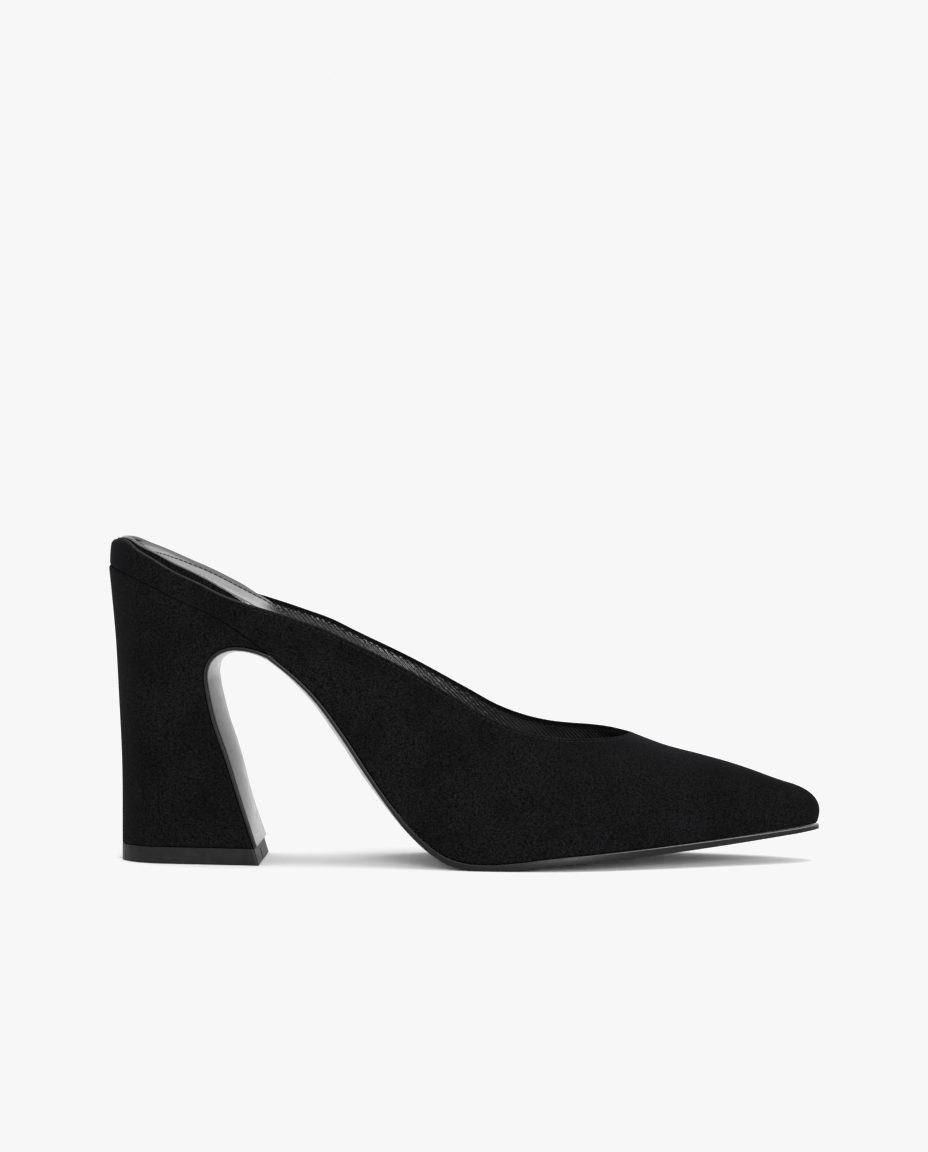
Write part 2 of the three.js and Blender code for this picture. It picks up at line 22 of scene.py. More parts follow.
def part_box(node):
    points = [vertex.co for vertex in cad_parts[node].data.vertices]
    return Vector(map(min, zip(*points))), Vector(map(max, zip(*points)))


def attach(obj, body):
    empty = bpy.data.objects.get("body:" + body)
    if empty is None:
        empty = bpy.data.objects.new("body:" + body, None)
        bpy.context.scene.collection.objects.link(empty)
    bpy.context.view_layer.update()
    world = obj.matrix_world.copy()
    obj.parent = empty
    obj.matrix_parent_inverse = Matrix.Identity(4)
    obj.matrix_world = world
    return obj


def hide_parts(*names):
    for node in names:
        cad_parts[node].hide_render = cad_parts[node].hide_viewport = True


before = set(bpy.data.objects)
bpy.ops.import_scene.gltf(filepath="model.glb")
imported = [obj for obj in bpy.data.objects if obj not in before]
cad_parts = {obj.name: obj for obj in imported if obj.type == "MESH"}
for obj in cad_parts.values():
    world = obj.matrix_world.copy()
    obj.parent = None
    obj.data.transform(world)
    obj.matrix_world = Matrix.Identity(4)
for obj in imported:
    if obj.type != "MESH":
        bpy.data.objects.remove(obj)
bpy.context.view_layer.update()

LOG = logging.getLogger("mule")
Floats = NDArray[np.float64]
MM = 0.001
# Room between two parts, and the breadth past which a row across the shoe is crowned in full.
GAP = 0.32
FULL_SPAN = 24.0
# Name of the mesh attribute that carries painted highlights: the suede's folded top edge and the sole edge's
# upper corner.
HIGHLIGHT_ATTRIBUTE = "painted_highlight"
Colour = tuple[float, float, float]
Socket = bpy.types.NodeSocket
Material = bpy.types.Material
Piece = bpy.types.Object


# ---------------------------------------------------------------- tables of the last


class PlanRow(NamedTuple):
    """Plan of the feather line: its middle, towards the inner side, and half its breadth."""

    at: float
    middle: float
    half: float


class HeightRow(NamedTuple):
    """Height of a line seen from the side."""

    at: float
    z: float


class InstepRow(NamedTuple):
    """The instep line: its height, and how far it lies to the inner side of the plan's middle."""

    at: float
    z: float
    inward: float


class ToplineRow(NamedTuple):
    """The top edge: height of the suede's fold, the lining's rise over it, and its rise on the inner side."""

    at: float
    fold: float
    rim: float
    inner: float


class MakeRow(NamedTuple):
    """Wall of the upper, its swell above the feather line, crown of the sole and the sole's thickness."""

    at: float
    wall: float
    swell: float
    crown: float
    sole: float


class SeatRow(NamedTuple):
    """Height of the insole's edge, and how far its middle is cupped below it."""

    at: float
    top: float
    cup: float


class ArchRow(NamedTuple):
    """The line of the outsole's edge round the arch and down the breast, half its breadth and its crown."""

    at: float
    z: float
    half: float
    crown: float


PLAN = tuple(
    PlanRow(*row)
    for row in (
        (0, 0, 25.0), (20, 0, 26.4), (40, -0.2, 26.6), (55, -0.7, 25.2), (70, -1.5, 24.0), (85, -2.2, 23.8),
        (100, -2.5, 26.5), (115, -2.2, 31.2), (130, -1.4, 35.4), (145, -0.5, 37.5), (160, 0.4, 37.0),
        (175, 1.5, 33.6), (190, 2.5, 28.0), (205, 3.2, 21.8), (220, 3.8, 15.3), (232, 4.1, 10.0),
        (240, 4.2, 6.6),
    )
)

FEATHER = tuple(
    HeightRow(*row)
    for row in (
        (0, 100.6), (16, 94.3), (24, 90.4), (36, 85.0), (43, 80.9), (48.3, 77.2), (55.5, 71.6), (62, 66.6),
        (67, 62.2), (72.3, 56.6), (80.7, 45.3), (90, 31.3), (96.7, 22.0), (103, 14.4), (109.4, 8.6),
        (115.6, 4.6), (122, 2.7), (129, 2.3), (140, 3.1), (150, 4.4), (165, 5.7), (186, 7.4), (213, 9.9),
        (240, 12.7),
    )
)

INSTEP = tuple(
    InstepRow(*row)
    for row in (
        (0, 140, 0), (30, 131, 0), (60, 121, 0.5), (80, 111, 1.2), (100, 97.5, 2.0), (120, 80, 2.4),
        (134, 68.5, 2.5), (146, 60, 2.5), (153, 55.9, 2.5), (162, 51.1, 2.4), (169, 47.1, 2.3),
        (173, 45.0, 2.2), (177, 43.5, 2.1), (188, 39.4, 1.6), (201, 36.0, 1.0), (211, 33.2, 0.6),
        (220, 30.0, 0.3), (229, 25.7, 0),
    )
)

TOPLINE = tuple(
    ToplineRow(*row)
    for row in (
        (0, 109.9, 0.5, 0), (4.2, 110.1, 0.3, -0.8), (10.2, 106.9, 1.2, -1.1), (16, 104.0, 1.9, -1.3),
        (24.3, 99.3, 2.6, -0.8), (32.6, 95.5, 2.5, -0.5), (40, 91.8, 2.1, 0), (46, 89.5, 1.0, 0.3),
        (52, 87.6, 0, 0.5), (66, 83.1, 0, 0.6), (74.3, 80.2, 0, 0.6), (81.6, 76.7, 0, 0.6),
        (101.7, 66.9, 0, 0.7), (120.5, 56.3, 0, 0.8), (130, 50.8, 0, 0.9), (139.3, 47.0, 0, 1.1),
        (148.8, 44.6, 0, 1.4), (156, 43.6, 0, 1.8), (162.5, 43.3, 0, 1.9), (169, 43.1, 0, 1.7),
        (173.5, 43.2, 0, 1.0), (177, 43.5, 0, 0),
    )
)

MAKE = tuple(
    MakeRow(*row)
    for row in (
        (0, 2.6, 0.2, 0.0, 1.1), (20, 2.6, 0.3, 0.2, 1.1), (40, 2.4, 0.4, 1.2, 1.1), (55, 1.9, 0.6, 2.1, 1.1),
        (80, 1.8, 1.0, 3.2, 1.2), (97, 1.8, 1.2, 2.5, 1.4), (110, 1.8, 1.2, 1.4, 1.9),
        (125, 1.8, 1.2, 0.8, 2.3), (200, 1.8, 1.0, 0.7, 2.3), (225, 1.8, 1.0, 0.4, 1.9),
        (240, 1.8, 3.0, 0.2, 1.6),
    )
)

SEAT = tuple(
    SeatRow(*row)
    for row in (
        (3, 109.9, 0.5), (15, 105.4, 1.2), (25, 100.8, 1.4), (35, 96.1, 1.4), (45, 90.9, 1.3),
        (52, 87.3, 1.2), (62, 80.4, 1.0), (70, 72.8, 0.9), (80, 60.4, 0.8), (90, 46.0, 0.7),
        (100, 31.0, 0.6), (110, 18.2, 0.5), (120, 10.0, 0.5), (130, 6.9, 0.4), (145, 7.4, 0.4),
        (186, 10.7, 0.3), (240, 15.6, 0.2),
    )
)

ARCH = tuple(
    ArchRow(*row)
    for row in (
        (55.5, 71.6, 25.1, 2.6), (51.9, 73.0, 25.2, 2.3), (47.0, 74.0, 25.0, 1.9), (42.0, 73.9, 24.6, 1.9),
        (37.8, 72.2, 24.1, 2.0), (34.9, 69.2, 23.5, 2.1), (33.5, 65.0, 22.9, 2.3), (33.8, 59.6, 22.3, 2.5),
        (36.2, 48.2, 21.6, 2.8), (40.3, 36.2, 21.3, 2.6), (45.1, 21.0, 21.5, 1.6), (50.1, 6.0, 22.0, 0.2),
    )
)

# The back of the heel block, from the lift up to the seam.
HEEL_BACK = tuple(
    HeightRow(*row)
    for row in (
        (3.9, 6.0), (3.8, 34), (2.9, 55), (1.6, 79), (0.7, 89), (-0.4, 100.6),
    )
)


@dataclass(frozen=True)
class Curve:
    """A smooth curve of one value over a rising place: Catmull-Rom slopes, and straight on past its ends."""

    place: Floats
    value: Floats
    slope: Floats

    @classmethod
    def through(cls, place: Sequence[float], value: Sequence[float]) -> "Curve":
        """The curve through points. A slope is the two chords beside it, each weighed by the other's run.

        Args:
            place: where the points lie, rising.
            value: the value at each of them.

        Returns:
            The curve.
        """
        x, y = np.asarray(place, float), np.asarray(value, float)
        run = np.diff(x)
        chord = np.diff(y) / run
        inner = (chord[:-1] * run[1:] + chord[1:] * run[:-1]) / (run[:-1] + run[1:])
        return cls(x, y, np.concatenate([chord[:1], inner, chord[-1:]]))

    def __call__(self, place: Floats) -> Floats:
        """The value at each place: a cubic between neighbouring points, with their slopes.

        Args:
            place: where to read the curve.

        Returns:
            The value at each place.
        """
        at = np.asarray(place, float)
        i = np.clip(np.searchsorted(self.place, at, side="right") - 1, 0, len(self.place) - 2)
        span = self.place[i + 1] - self.place[i]
        t = np.clip((at - self.place[i]) / span, 0, 1)
        s = 1 - t
        cubic = self.value[i] * (1 + 2 * t) * s * s + self.value[i + 1] * (3 - 2 * t) * t * t
        cubic += span * t * s * (self.slope[i] * s - self.slope[i + 1] * t)
        before = np.minimum(at - self.place[0], 0) * self.slope[0]
        after = np.maximum(at - self.place[-1], 0) * self.slope[-1]
        return cubic + before + after


def column(rows: Sequence[NamedTuple], name: str, by: str = "at") -> Curve:
    """The curve through one named column of a table, over the column that by names."""
    return Curve.through([getattr(row, by) for row in rows], [getattr(row, name) for row in rows])


# ---------------------------------------------------------------- small tools on whole arrays


def stack(x: Floats, y: Floats, z: Floats) -> Floats:
    """Points from their three coordinates, broadcast together."""
    return np.stack(np.broadcast_arrays(x, y, z), axis=-1).astype(float)


def unit(v: Floats) -> Floats:
    """Vectors of length 1; a zero vector stays zero."""
    return v / np.maximum(np.linalg.norm(v, axis=-1, keepdims=True), 1e-12)


def smooth(low: float, high: float, value: Floats) -> Floats:
    """0 below low, 1 above high, and a smooth step between them."""
    t = np.clip((value - low) / (high - low), 0, 1)
    return t * t * (3 - 2 * t)


def round_end(distance: Floats, length: float) -> Floats:
    """Share of full breadth at a rounded end: a quarter circle over its first stretch."""
    return np.sqrt(1 - (1 - np.clip(distance / length, 0, 1)) ** 2)


class Crowd(Enum):
    """Which end of a stretch its sections crowd towards."""

    START = 2.0
    EVEN = 1.0
    END = 0.5

    def spread(self, count: int) -> Floats:
        """Shares of the way along a stretch, from 0 and short of 1.

        Args:
            count: how many shares.

        Returns:
            Shares from 0 and short of 1.
        """
        t = np.arange(count) / count
        if self is Crowd.START:
            return t**2
        return t if self is Crowd.EVEN else 1 - (1 - t) ** 2


# ---------------------------------------------------------------- the last


@dataclass(frozen=True)
class Last:
    """The form that the shoe is made over. Its methods take and give whole arrays."""

    length: float = 239.9
    toe_line: float = 240.0
    throat: float = 177.0
    throat_blend: float = 4.0
    tip: float = 55.5
    heel_round: float = 24.0
    homing: int = 40
    toe_round: float = 9.0
    lean_reach: float = 46.0
    lean_by: float = 22.0
    toe_reach: float = 44.0
    toe_by: float = 14.0
    toe_power: float = 2.5
    lift_back: float = 3.9
    back_round: float = 2.3
    back_rounded: tuple[float, float] = (4.0, 15.0)
    back_most: float = 0.985
    seat_end: float = 50.0
    most_up: float = 0.98
    plan_middle: Curve = column(PLAN, "middle")
    plan_half: Curve = column(PLAN, "half")
    feather: Curve = column(FEATHER, "z")
    instep: Curve = column(INSTEP, "z")
    inward: Curve = column(INSTEP, "inward")
    fold: Curve = column(TOPLINE, "fold")
    rim: Curve = column(TOPLINE, "rim")
    inner_rise: Curve = column(TOPLINE, "inner")
    wall: Curve = column(MAKE, "wall")
    swell: Curve = column(MAKE, "swell")
    crown: Curve = column(MAKE, "crown")
    sole: Curve = column(MAKE, "sole")

    def origin(self) -> Floats:
        """Where the frame's origin lies on the last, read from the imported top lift, in millimetres."""
        low, high = (np.array(corner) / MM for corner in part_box("top_lift"))
        return np.array([self.lift_back - low[0], -(low[1] + high[1]) / 2, -low[2]])

    def stations(self, fine: float = 1.0) -> Floats:
        """Where the sections lie from toe to heel, crowded where the shoe turns.

        Args:
            fine: how many times the usual number of sections.

        Returns:
            Places along the last, falling from its length to 0.
        """
        stretches = (
            (self.length, 216.0, 44, Crowd.START),
            (216.0, self.throat, 36, Crowd.EVEN),
            (self.throat, 145.0, 44, Crowd.START),
            (145.0, 101.0, 54, Crowd.EVEN),
            (101.0, self.tip, 50, Crowd.EVEN),
            (self.tip, 46.0, 12, Crowd.EVEN),
            (46.0, 0.0, 56, Crowd.END),
        )
        runs = [a + (b - a) * crowd.spread(max(2, round(n * fine))) for a, b, n, crowd in stretches]
        return np.concatenate([*runs, [0.0]])

    def slope(self, at: Floats) -> Floats:
        """Slope of the feather line."""
        return self.feather(at + 0.5) - self.feather(at - 0.5)

    def steepness(self, at: Floats) -> Floats:
        """Length along the feather line for each unit of its run."""
        return np.hypot(1, self.slope(at))

    def outline(self, at: Floats, side: Floats) -> tuple[Floats, Floats]:
        """The feather line in plan: the table's breadth, rounded off at heel and toe by quarter circles."""
        ends = round_end(at, self.heel_round) * round_end(self.length - at, self.toe_round)
        return at + 0 * side, self.plan_middle(at) + side * self.plan_half(at) * ends

    def crest(self, at: Floats) -> tuple[Floats, Floats, Floats]:
        """The point of the instep line that a section aims at: further on at the heel, back at the toe.

        Args:
            at: places along the last.

        Returns:
            How far forward the point lies, how far to the inner side, and how high.
        """
        over_heel = self.lean_by * np.clip(1 - at / self.lean_reach, 0, 1) ** 2
        into_toe = np.clip(1 - (self.toe_line - at) / self.toe_reach, 0, 1)
        to = at + over_heel - self.toe_by * into_toe**self.toe_power
        return to, self.plan_middle(to) + self.inward(to), self.instep(to)

    def point(self, at: Floats, side: Floats, up: Floats) -> Floats:
        """The outside of the upper: a quarter ellipse from feather line to instep line, swelled outwards.

        In plan a point goes 1 - cos of the way to the instep line, less the swell times sin(2 turn) and
        cos(turn); in height it goes sin of the way.

        Args:
            at: places along the last.
            side: sides of the foot.
            up: how far up each section.

        Returns:
            Points on the surface.
        """
        foot_x, foot_y = self.outline(at, side)
        top_x, top_y, top_z = self.crest(at)
        base = self.feather(at) + 0.05 * self.steepness(at)
        turn = up * np.pi / 2
        to_x, to_y = top_x - foot_x, top_y - foot_y
        bulge = self.swell(at) * np.sin(2 * turn) * np.cos(turn)
        go = 1 - np.cos(turn) - bulge / np.hypot(to_x, to_y)
        return stack(foot_x + to_x * go, foot_y + to_y * go, base + (top_z - base) * np.sin(turn))

    def share(self, at: Floats, z: Floats, most: float = 1.0) -> Floats:
        """How far up a section a height lies.

        Args:
            at: places along the last.
            z: heights.
            most: the share of the way to the instep line past which the sine is held.

        Returns:
            How far up each height lies.
        """
        base = self.feather(at)
        ratio = (z - base) / (self.crest(at)[2] - base)
        return np.arcsin(np.clip(ratio, 0, most)) * 2 / np.pi

    def topline(self, at: Floats, side: Floats) -> Floats:
        """Height of the suede's folded edge."""
        return self.fold(at) + np.where(side > 0, self.inner_rise(at), 0)

    def cut(self, at: Floats, side: Floats, height: Callable[[Floats, Floats], Floats]) -> Floats:
        """How far up a line cuts each section off, homing in on its height; 1 in front of the throat.

        Args:
            at: places along the last.
            side: sides of the foot.
            height: gives the line's height at a place and side.

        Returns:
            How far up each section is cut.
        """
        up = np.full(np.broadcast(at, side).shape, 0.5)
        for _ in range(self.homing):
            over = self.point(at, side, up)[..., 0]
            up = (up + self.share(at, height(over, side))) / 2
        return np.where(at >= self.throat, 1.0, up)

    def normal(self, at: Floats, side: Floats, up: Floats) -> Floats:
        """Direction out of the upper, square to the steps along and up it.

        Args:
            at: places along the last.
            side: sides of the foot.
            up: how far up each section.

        Returns:
            Vectors of length 1.
        """
        step = 0.004
        nudge = 0.05
        at, side, up = (a.astype(float) for a in np.broadcast_arrays(at, side, up))
        crossways = np.array([0.0, 1.0, 0.0])
        top = up >= 1
        ends = (at <= 0) | (at >= self.length)
        rise = self.point(at, side, np.minimum(up + step, 1)) - self.point(at, side, np.maximum(up - step, 0))
        rise = np.where(top[..., None], crossways, rise)
        ahead, behind = np.minimum(at + nudge, self.length), np.maximum(at - nudge, 0)
        along = self.point(ahead, side, up) - self.point(behind, side, up)
        along[..., 1] = np.where(top, 0, along[..., 1])
        along = np.where(ends[..., None], crossways, along)
        out = unit(np.cross(rise, along))
        from_crest = self.point(at, side, up)[..., :2] - np.stack(self.crest(at)[:2], axis=-1)
        outwards = np.where(top, out[..., 2], (out[..., :2] * from_crest).sum(-1))
        return np.where((outwards < 0)[..., None], -out, out)

    def rise(self, at: Floats, side: Floats, up: Floats) -> Floats:
        """The step up the surface for each unit of up, in millimetres."""
        low, high = np.maximum(up - 0.004, 0), np.minimum(up + 0.004, 1)
        return (self.point(at, side, high) - self.point(at, side, low)) / (high - low)[..., None]

    def edge(self, at: Floats, side: Floats, below: Floats, rim: bool = False) -> Floats:
        """How far up a line lies that keeps a distance under the top edge, and meets it at the V.

        Args:
            at: places along the last.
            side: sides of the foot.
            below: distance down the wall from the edge.
            rim: whether the edge is the lining's rim instead of the suede's fold.

        Returns:
            How far up it lies; 1 in front of the throat.
        """
        over = (lambda x, s: self.topline(x, s) + self.rim(x)) if rim else self.topline
        top = self.cut(at, side, over)
        pace = np.linalg.norm(self.rise(at, side, np.minimum(top, self.most_up)), axis=-1)
        return top - below * smooth(0, self.throat_blend, self.throat - at) / pace

    def lean(self, at: Floats, below: Floats) -> Floats:
        """How far the wall rounds inwards at the back of the heel, at some depth below its folded edge."""
        left = np.clip(1 - below / self.back_round, 0, self.back_most)
        return self.back_round * (1 - np.sqrt(1 - left**2)) * (1 - smooth(*self.back_rounded, at))

    def ring(self, fine: float = 1.0) -> tuple[Floats, Floats]:
        """Sections all the way round: back along the outer side from the toe, and forward along the inner.

        Args:
            fine: how many times the usual number of sections.

        Returns:
            The place and side of each section; the last is the first again.
        """
        along = self.stations(fine)
        at = np.concatenate([along, along[-2:0:-1], along[:1]])
        side = np.concatenate([-np.ones(len(along)), np.ones(len(along) - 2), [-1.0]])
        return at, side

    def under(self, at: Floats, bulge: Floats) -> Floats:
        """Height of the face that upper and insole stand on, which sags towards its middle."""
        return self.feather(at) - self.crown(at) * self.steepness(at) * bulge


LAST = Last()


# ---------------------------------------------------------------- meshes from grids


@dataclass
class Sheaf:
    """Grids of points that share edges, gathered into one closed mesh."""

    name: str
    points: list[Floats] = field(default_factory=list)
    faces: list[NDArray[np.int64]] = field(default_factory=list)
    worn: list[Floats] = field(default_factory=list)
    covers: list[NDArray[np.int32]] = field(default_factory=list)
    count: int = 0

    def add(self, grid: Floats, painted_highlight: Optional[Floats] = None, cover: NDArray[np.int32] | int = 0) -> "Sheaf":
        """Adds a grid of points as quads.

        Args:
            grid: points, rows by columns.
            painted_highlight: how strongly a highlight is painted at each point.
            cover: which of the piece's materials covers it, or each of its rows.

        Returns:
            Itself.
        """
        rows, cols = grid.shape[:2]
        by_row = np.broadcast_to(np.asarray(cover, np.int32).reshape(-1, 1), (rows - 1, cols - 1))
        self.covers.append(by_row.ravel())
        self.worn.append(np.broadcast_to(0.0 if painted_highlight is None else painted_highlight, (rows, cols)).ravel())
        i, j = np.meshgrid(np.arange(rows - 1), np.arange(cols - 1), indexing="ij")
        first = self.count + i * cols + j
        quads = np.stack([first, first + cols, first + cols + 1, first + 1], axis=-1)
        self.points.append(grid.reshape(-1, 3))
        self.faces.append(quads.reshape(-1, 4))
        self.count += rows * cols
        return self

    def build(self, weld: float = 2e-3) -> Piece:
        """Makes the object: places it in the frame, welds shared edges and turns its faces outwards.

        Args:
            weld: distance in millimetres within which points become one.

        Returns:
            The object, in metres, with its place in its mesh.
        """
        where = (np.concatenate(self.points) - LAST.origin()) * MM
        quads = np.concatenate(self.faces)
        mesh = bpy.data.meshes.new(self.name)
        mesh.vertices.add(len(where))
        mesh.vertices.foreach_set("co", where.ravel())
        mesh.loops.add(quads.size)
        mesh.loops.foreach_set("vertex_index", quads.ravel().astype(np.int32))
        mesh.polygons.add(len(quads))
        mesh.polygons.foreach_set("loop_start", np.arange(0, quads.size, 4, dtype=np.int32))
        mesh.polygons.foreach_set("material_index", np.concatenate(self.covers))
        mesh.update(calc_edges=True)
        # The painted highlights are kept on the mesh's points, for the materials to read.
        worn = mesh.attributes.new(HIGHLIGHT_ATTRIBUTE, "FLOAT", "POINT")
        worn.data.foreach_set("value", np.concatenate(self.worn).astype(np.float32))
        work = bmesh.new()
        work.from_mesh(mesh)
        bmesh.ops.remove_doubles(work, verts=work.verts, dist=weld * MM)
        bmesh.ops.dissolve_degenerate(work, edges=work.edges, dist=weld * MM * 0.5)
        bmesh.ops.recalc_face_normals(work, faces=work.faces)
        work.to_mesh(mesh)
        work.free()
        mesh.polygons.foreach_set("use_smooth", np.ones(len(mesh.polygons), bool))
        mesh.validate()
        piece = bpy.data.objects.new(self.name, mesh)
        bpy.context.scene.collection.objects.link(piece)
        return piece


def finish_piece(piece: Piece, covers: Sequence[Material], slot: str, *nodes: str) -> None:
    """Dresses a piece, lets it ride on the shoe and hides the frame's nodes that it replaces.

    Args:
        piece: the object.
        covers: its materials, in the order of its faces' covers.
        slot: not used.
        nodes: the frame's nodes that it replaces.
    """
    shown = np.zeros(len(piece.data.polygons), np.int32)
    piece.data.polygons.foreach_get("material_index", shown)
    for material in covers:
        piece.data.materials.append(material)
    piece.data.polygons.foreach_set("material_index", shown)
    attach(piece, "root")
    if nodes:
        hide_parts(*nodes)
    triangles = sum(len(p.vertices) - 2 for p in piece.data.polygons)
    LOG.info("%s: %d triangles", piece.name, triangles)


def turned_edge(start: Floats, end: Floats, away: Floats, steps: int = 8) -> Floats:
    """A rounded edge from one face's rim to the other's: half a circle about their middle.

    Args:
        start: points on the first rim.
        end: points on the second.
        away: directions in which the edge bulges.
        steps: faces round it.

    Returns:
        Points, rims by steps: middle + cos(turn) * half the chord + sin(turn) * its length * away.
    """
    turn = np.linspace(0, np.pi, steps + 1)[None, :, None]
    half = ((start - end) / 2)[:, None]
    reach = np.linalg.norm(half, axis=-1, keepdims=True)
    return ((start + end) / 2)[:, None] + np.cos(turn) * half + np.sin(turn) * reach * away[:, None]


def crowded(count: int, ends: float = 0.9) -> Floats:
    """Shares from 0 to 1 that crowd at both ends: t less a share of a sine over its whole turn."""
    t = np.linspace(0, 1, count + 1)
    return t - ends * np.sin(2 * np.pi * t) / (2 * np.pi)


class Path(NamedTuple):
    """A line on a surface: its points, and the way out of the surface at each."""

    place: Floats
    out: Floats


@dataclass(frozen=True)
class Stitching:
    """A row of thread stitches laid along a path."""

    pitch: float = 1.85
    length: float = 1.4
    thick: float = 0.42
    sunk: float = 0.35

    def sew(self, name: str, *paths: Path) -> Piece:
        """Lays a spindle of thread every pitch along the paths.

        A stitch is a tube whose ends taper as the root of a circle, and it is carried to each place by the
        path's run, the way out of the surface, and the way across.

        Args:
            name: the piece's name.
            paths: where the rows run.

        Returns:
            All the stitches, as one piece.
        """
        turn = np.linspace(0, 2 * np.pi, 9)
        along = np.cos(np.linspace(np.pi, 0, 9))
        ring = np.sqrt(np.maximum(1 - np.abs(along) ** 3, 0)) * self.thick / 2
        thread = Sheaf(name)
        for path in paths:
            steps = np.linalg.norm(np.diff(path.place, axis=0), axis=-1)
            far = np.concatenate([[0], np.cumsum(steps)])
            spots = np.arange(self.pitch / 2, far[-1], self.pitch)

            def taken(values: Floats, at: Floats, far: Floats = far) -> Floats:
                """Values along the path at some distances."""
                return np.stack([np.interp(at, far, values[:, k]) for k in range(3)], axis=-1)

            middle, out = taken(path.place, spots), unit(taken(path.out, spots))
            run = unit(taken(path.place, spots + 0.3) - taken(path.place, spots - 0.3))
            across = unit(np.cross(out, run))
            out = np.cross(run, across)
            middle = middle + out * self.thick * (0.5 - self.sunk)
            offset = (
                along[None, :, None, None] * self.length / 2 * run[:, None, None]
                + (ring[:, None] * np.cos(turn))[None, ..., None] * out[:, None, None]
                + (ring[:, None] * np.sin(turn))[None, ..., None] * across[:, None, None]
            )
            for stitch in middle[:, None, None] + offset:
                thread.add(stitch)
        return thread.build(weld=1e-4)


# ---------------------------------------------------------------- the upper


class Rim(NamedTuple):
    """The line where a wall of the upper turns over: points, and the ways out of it and off its edge."""

    place: Floats
    out: Floats
    away: Floats


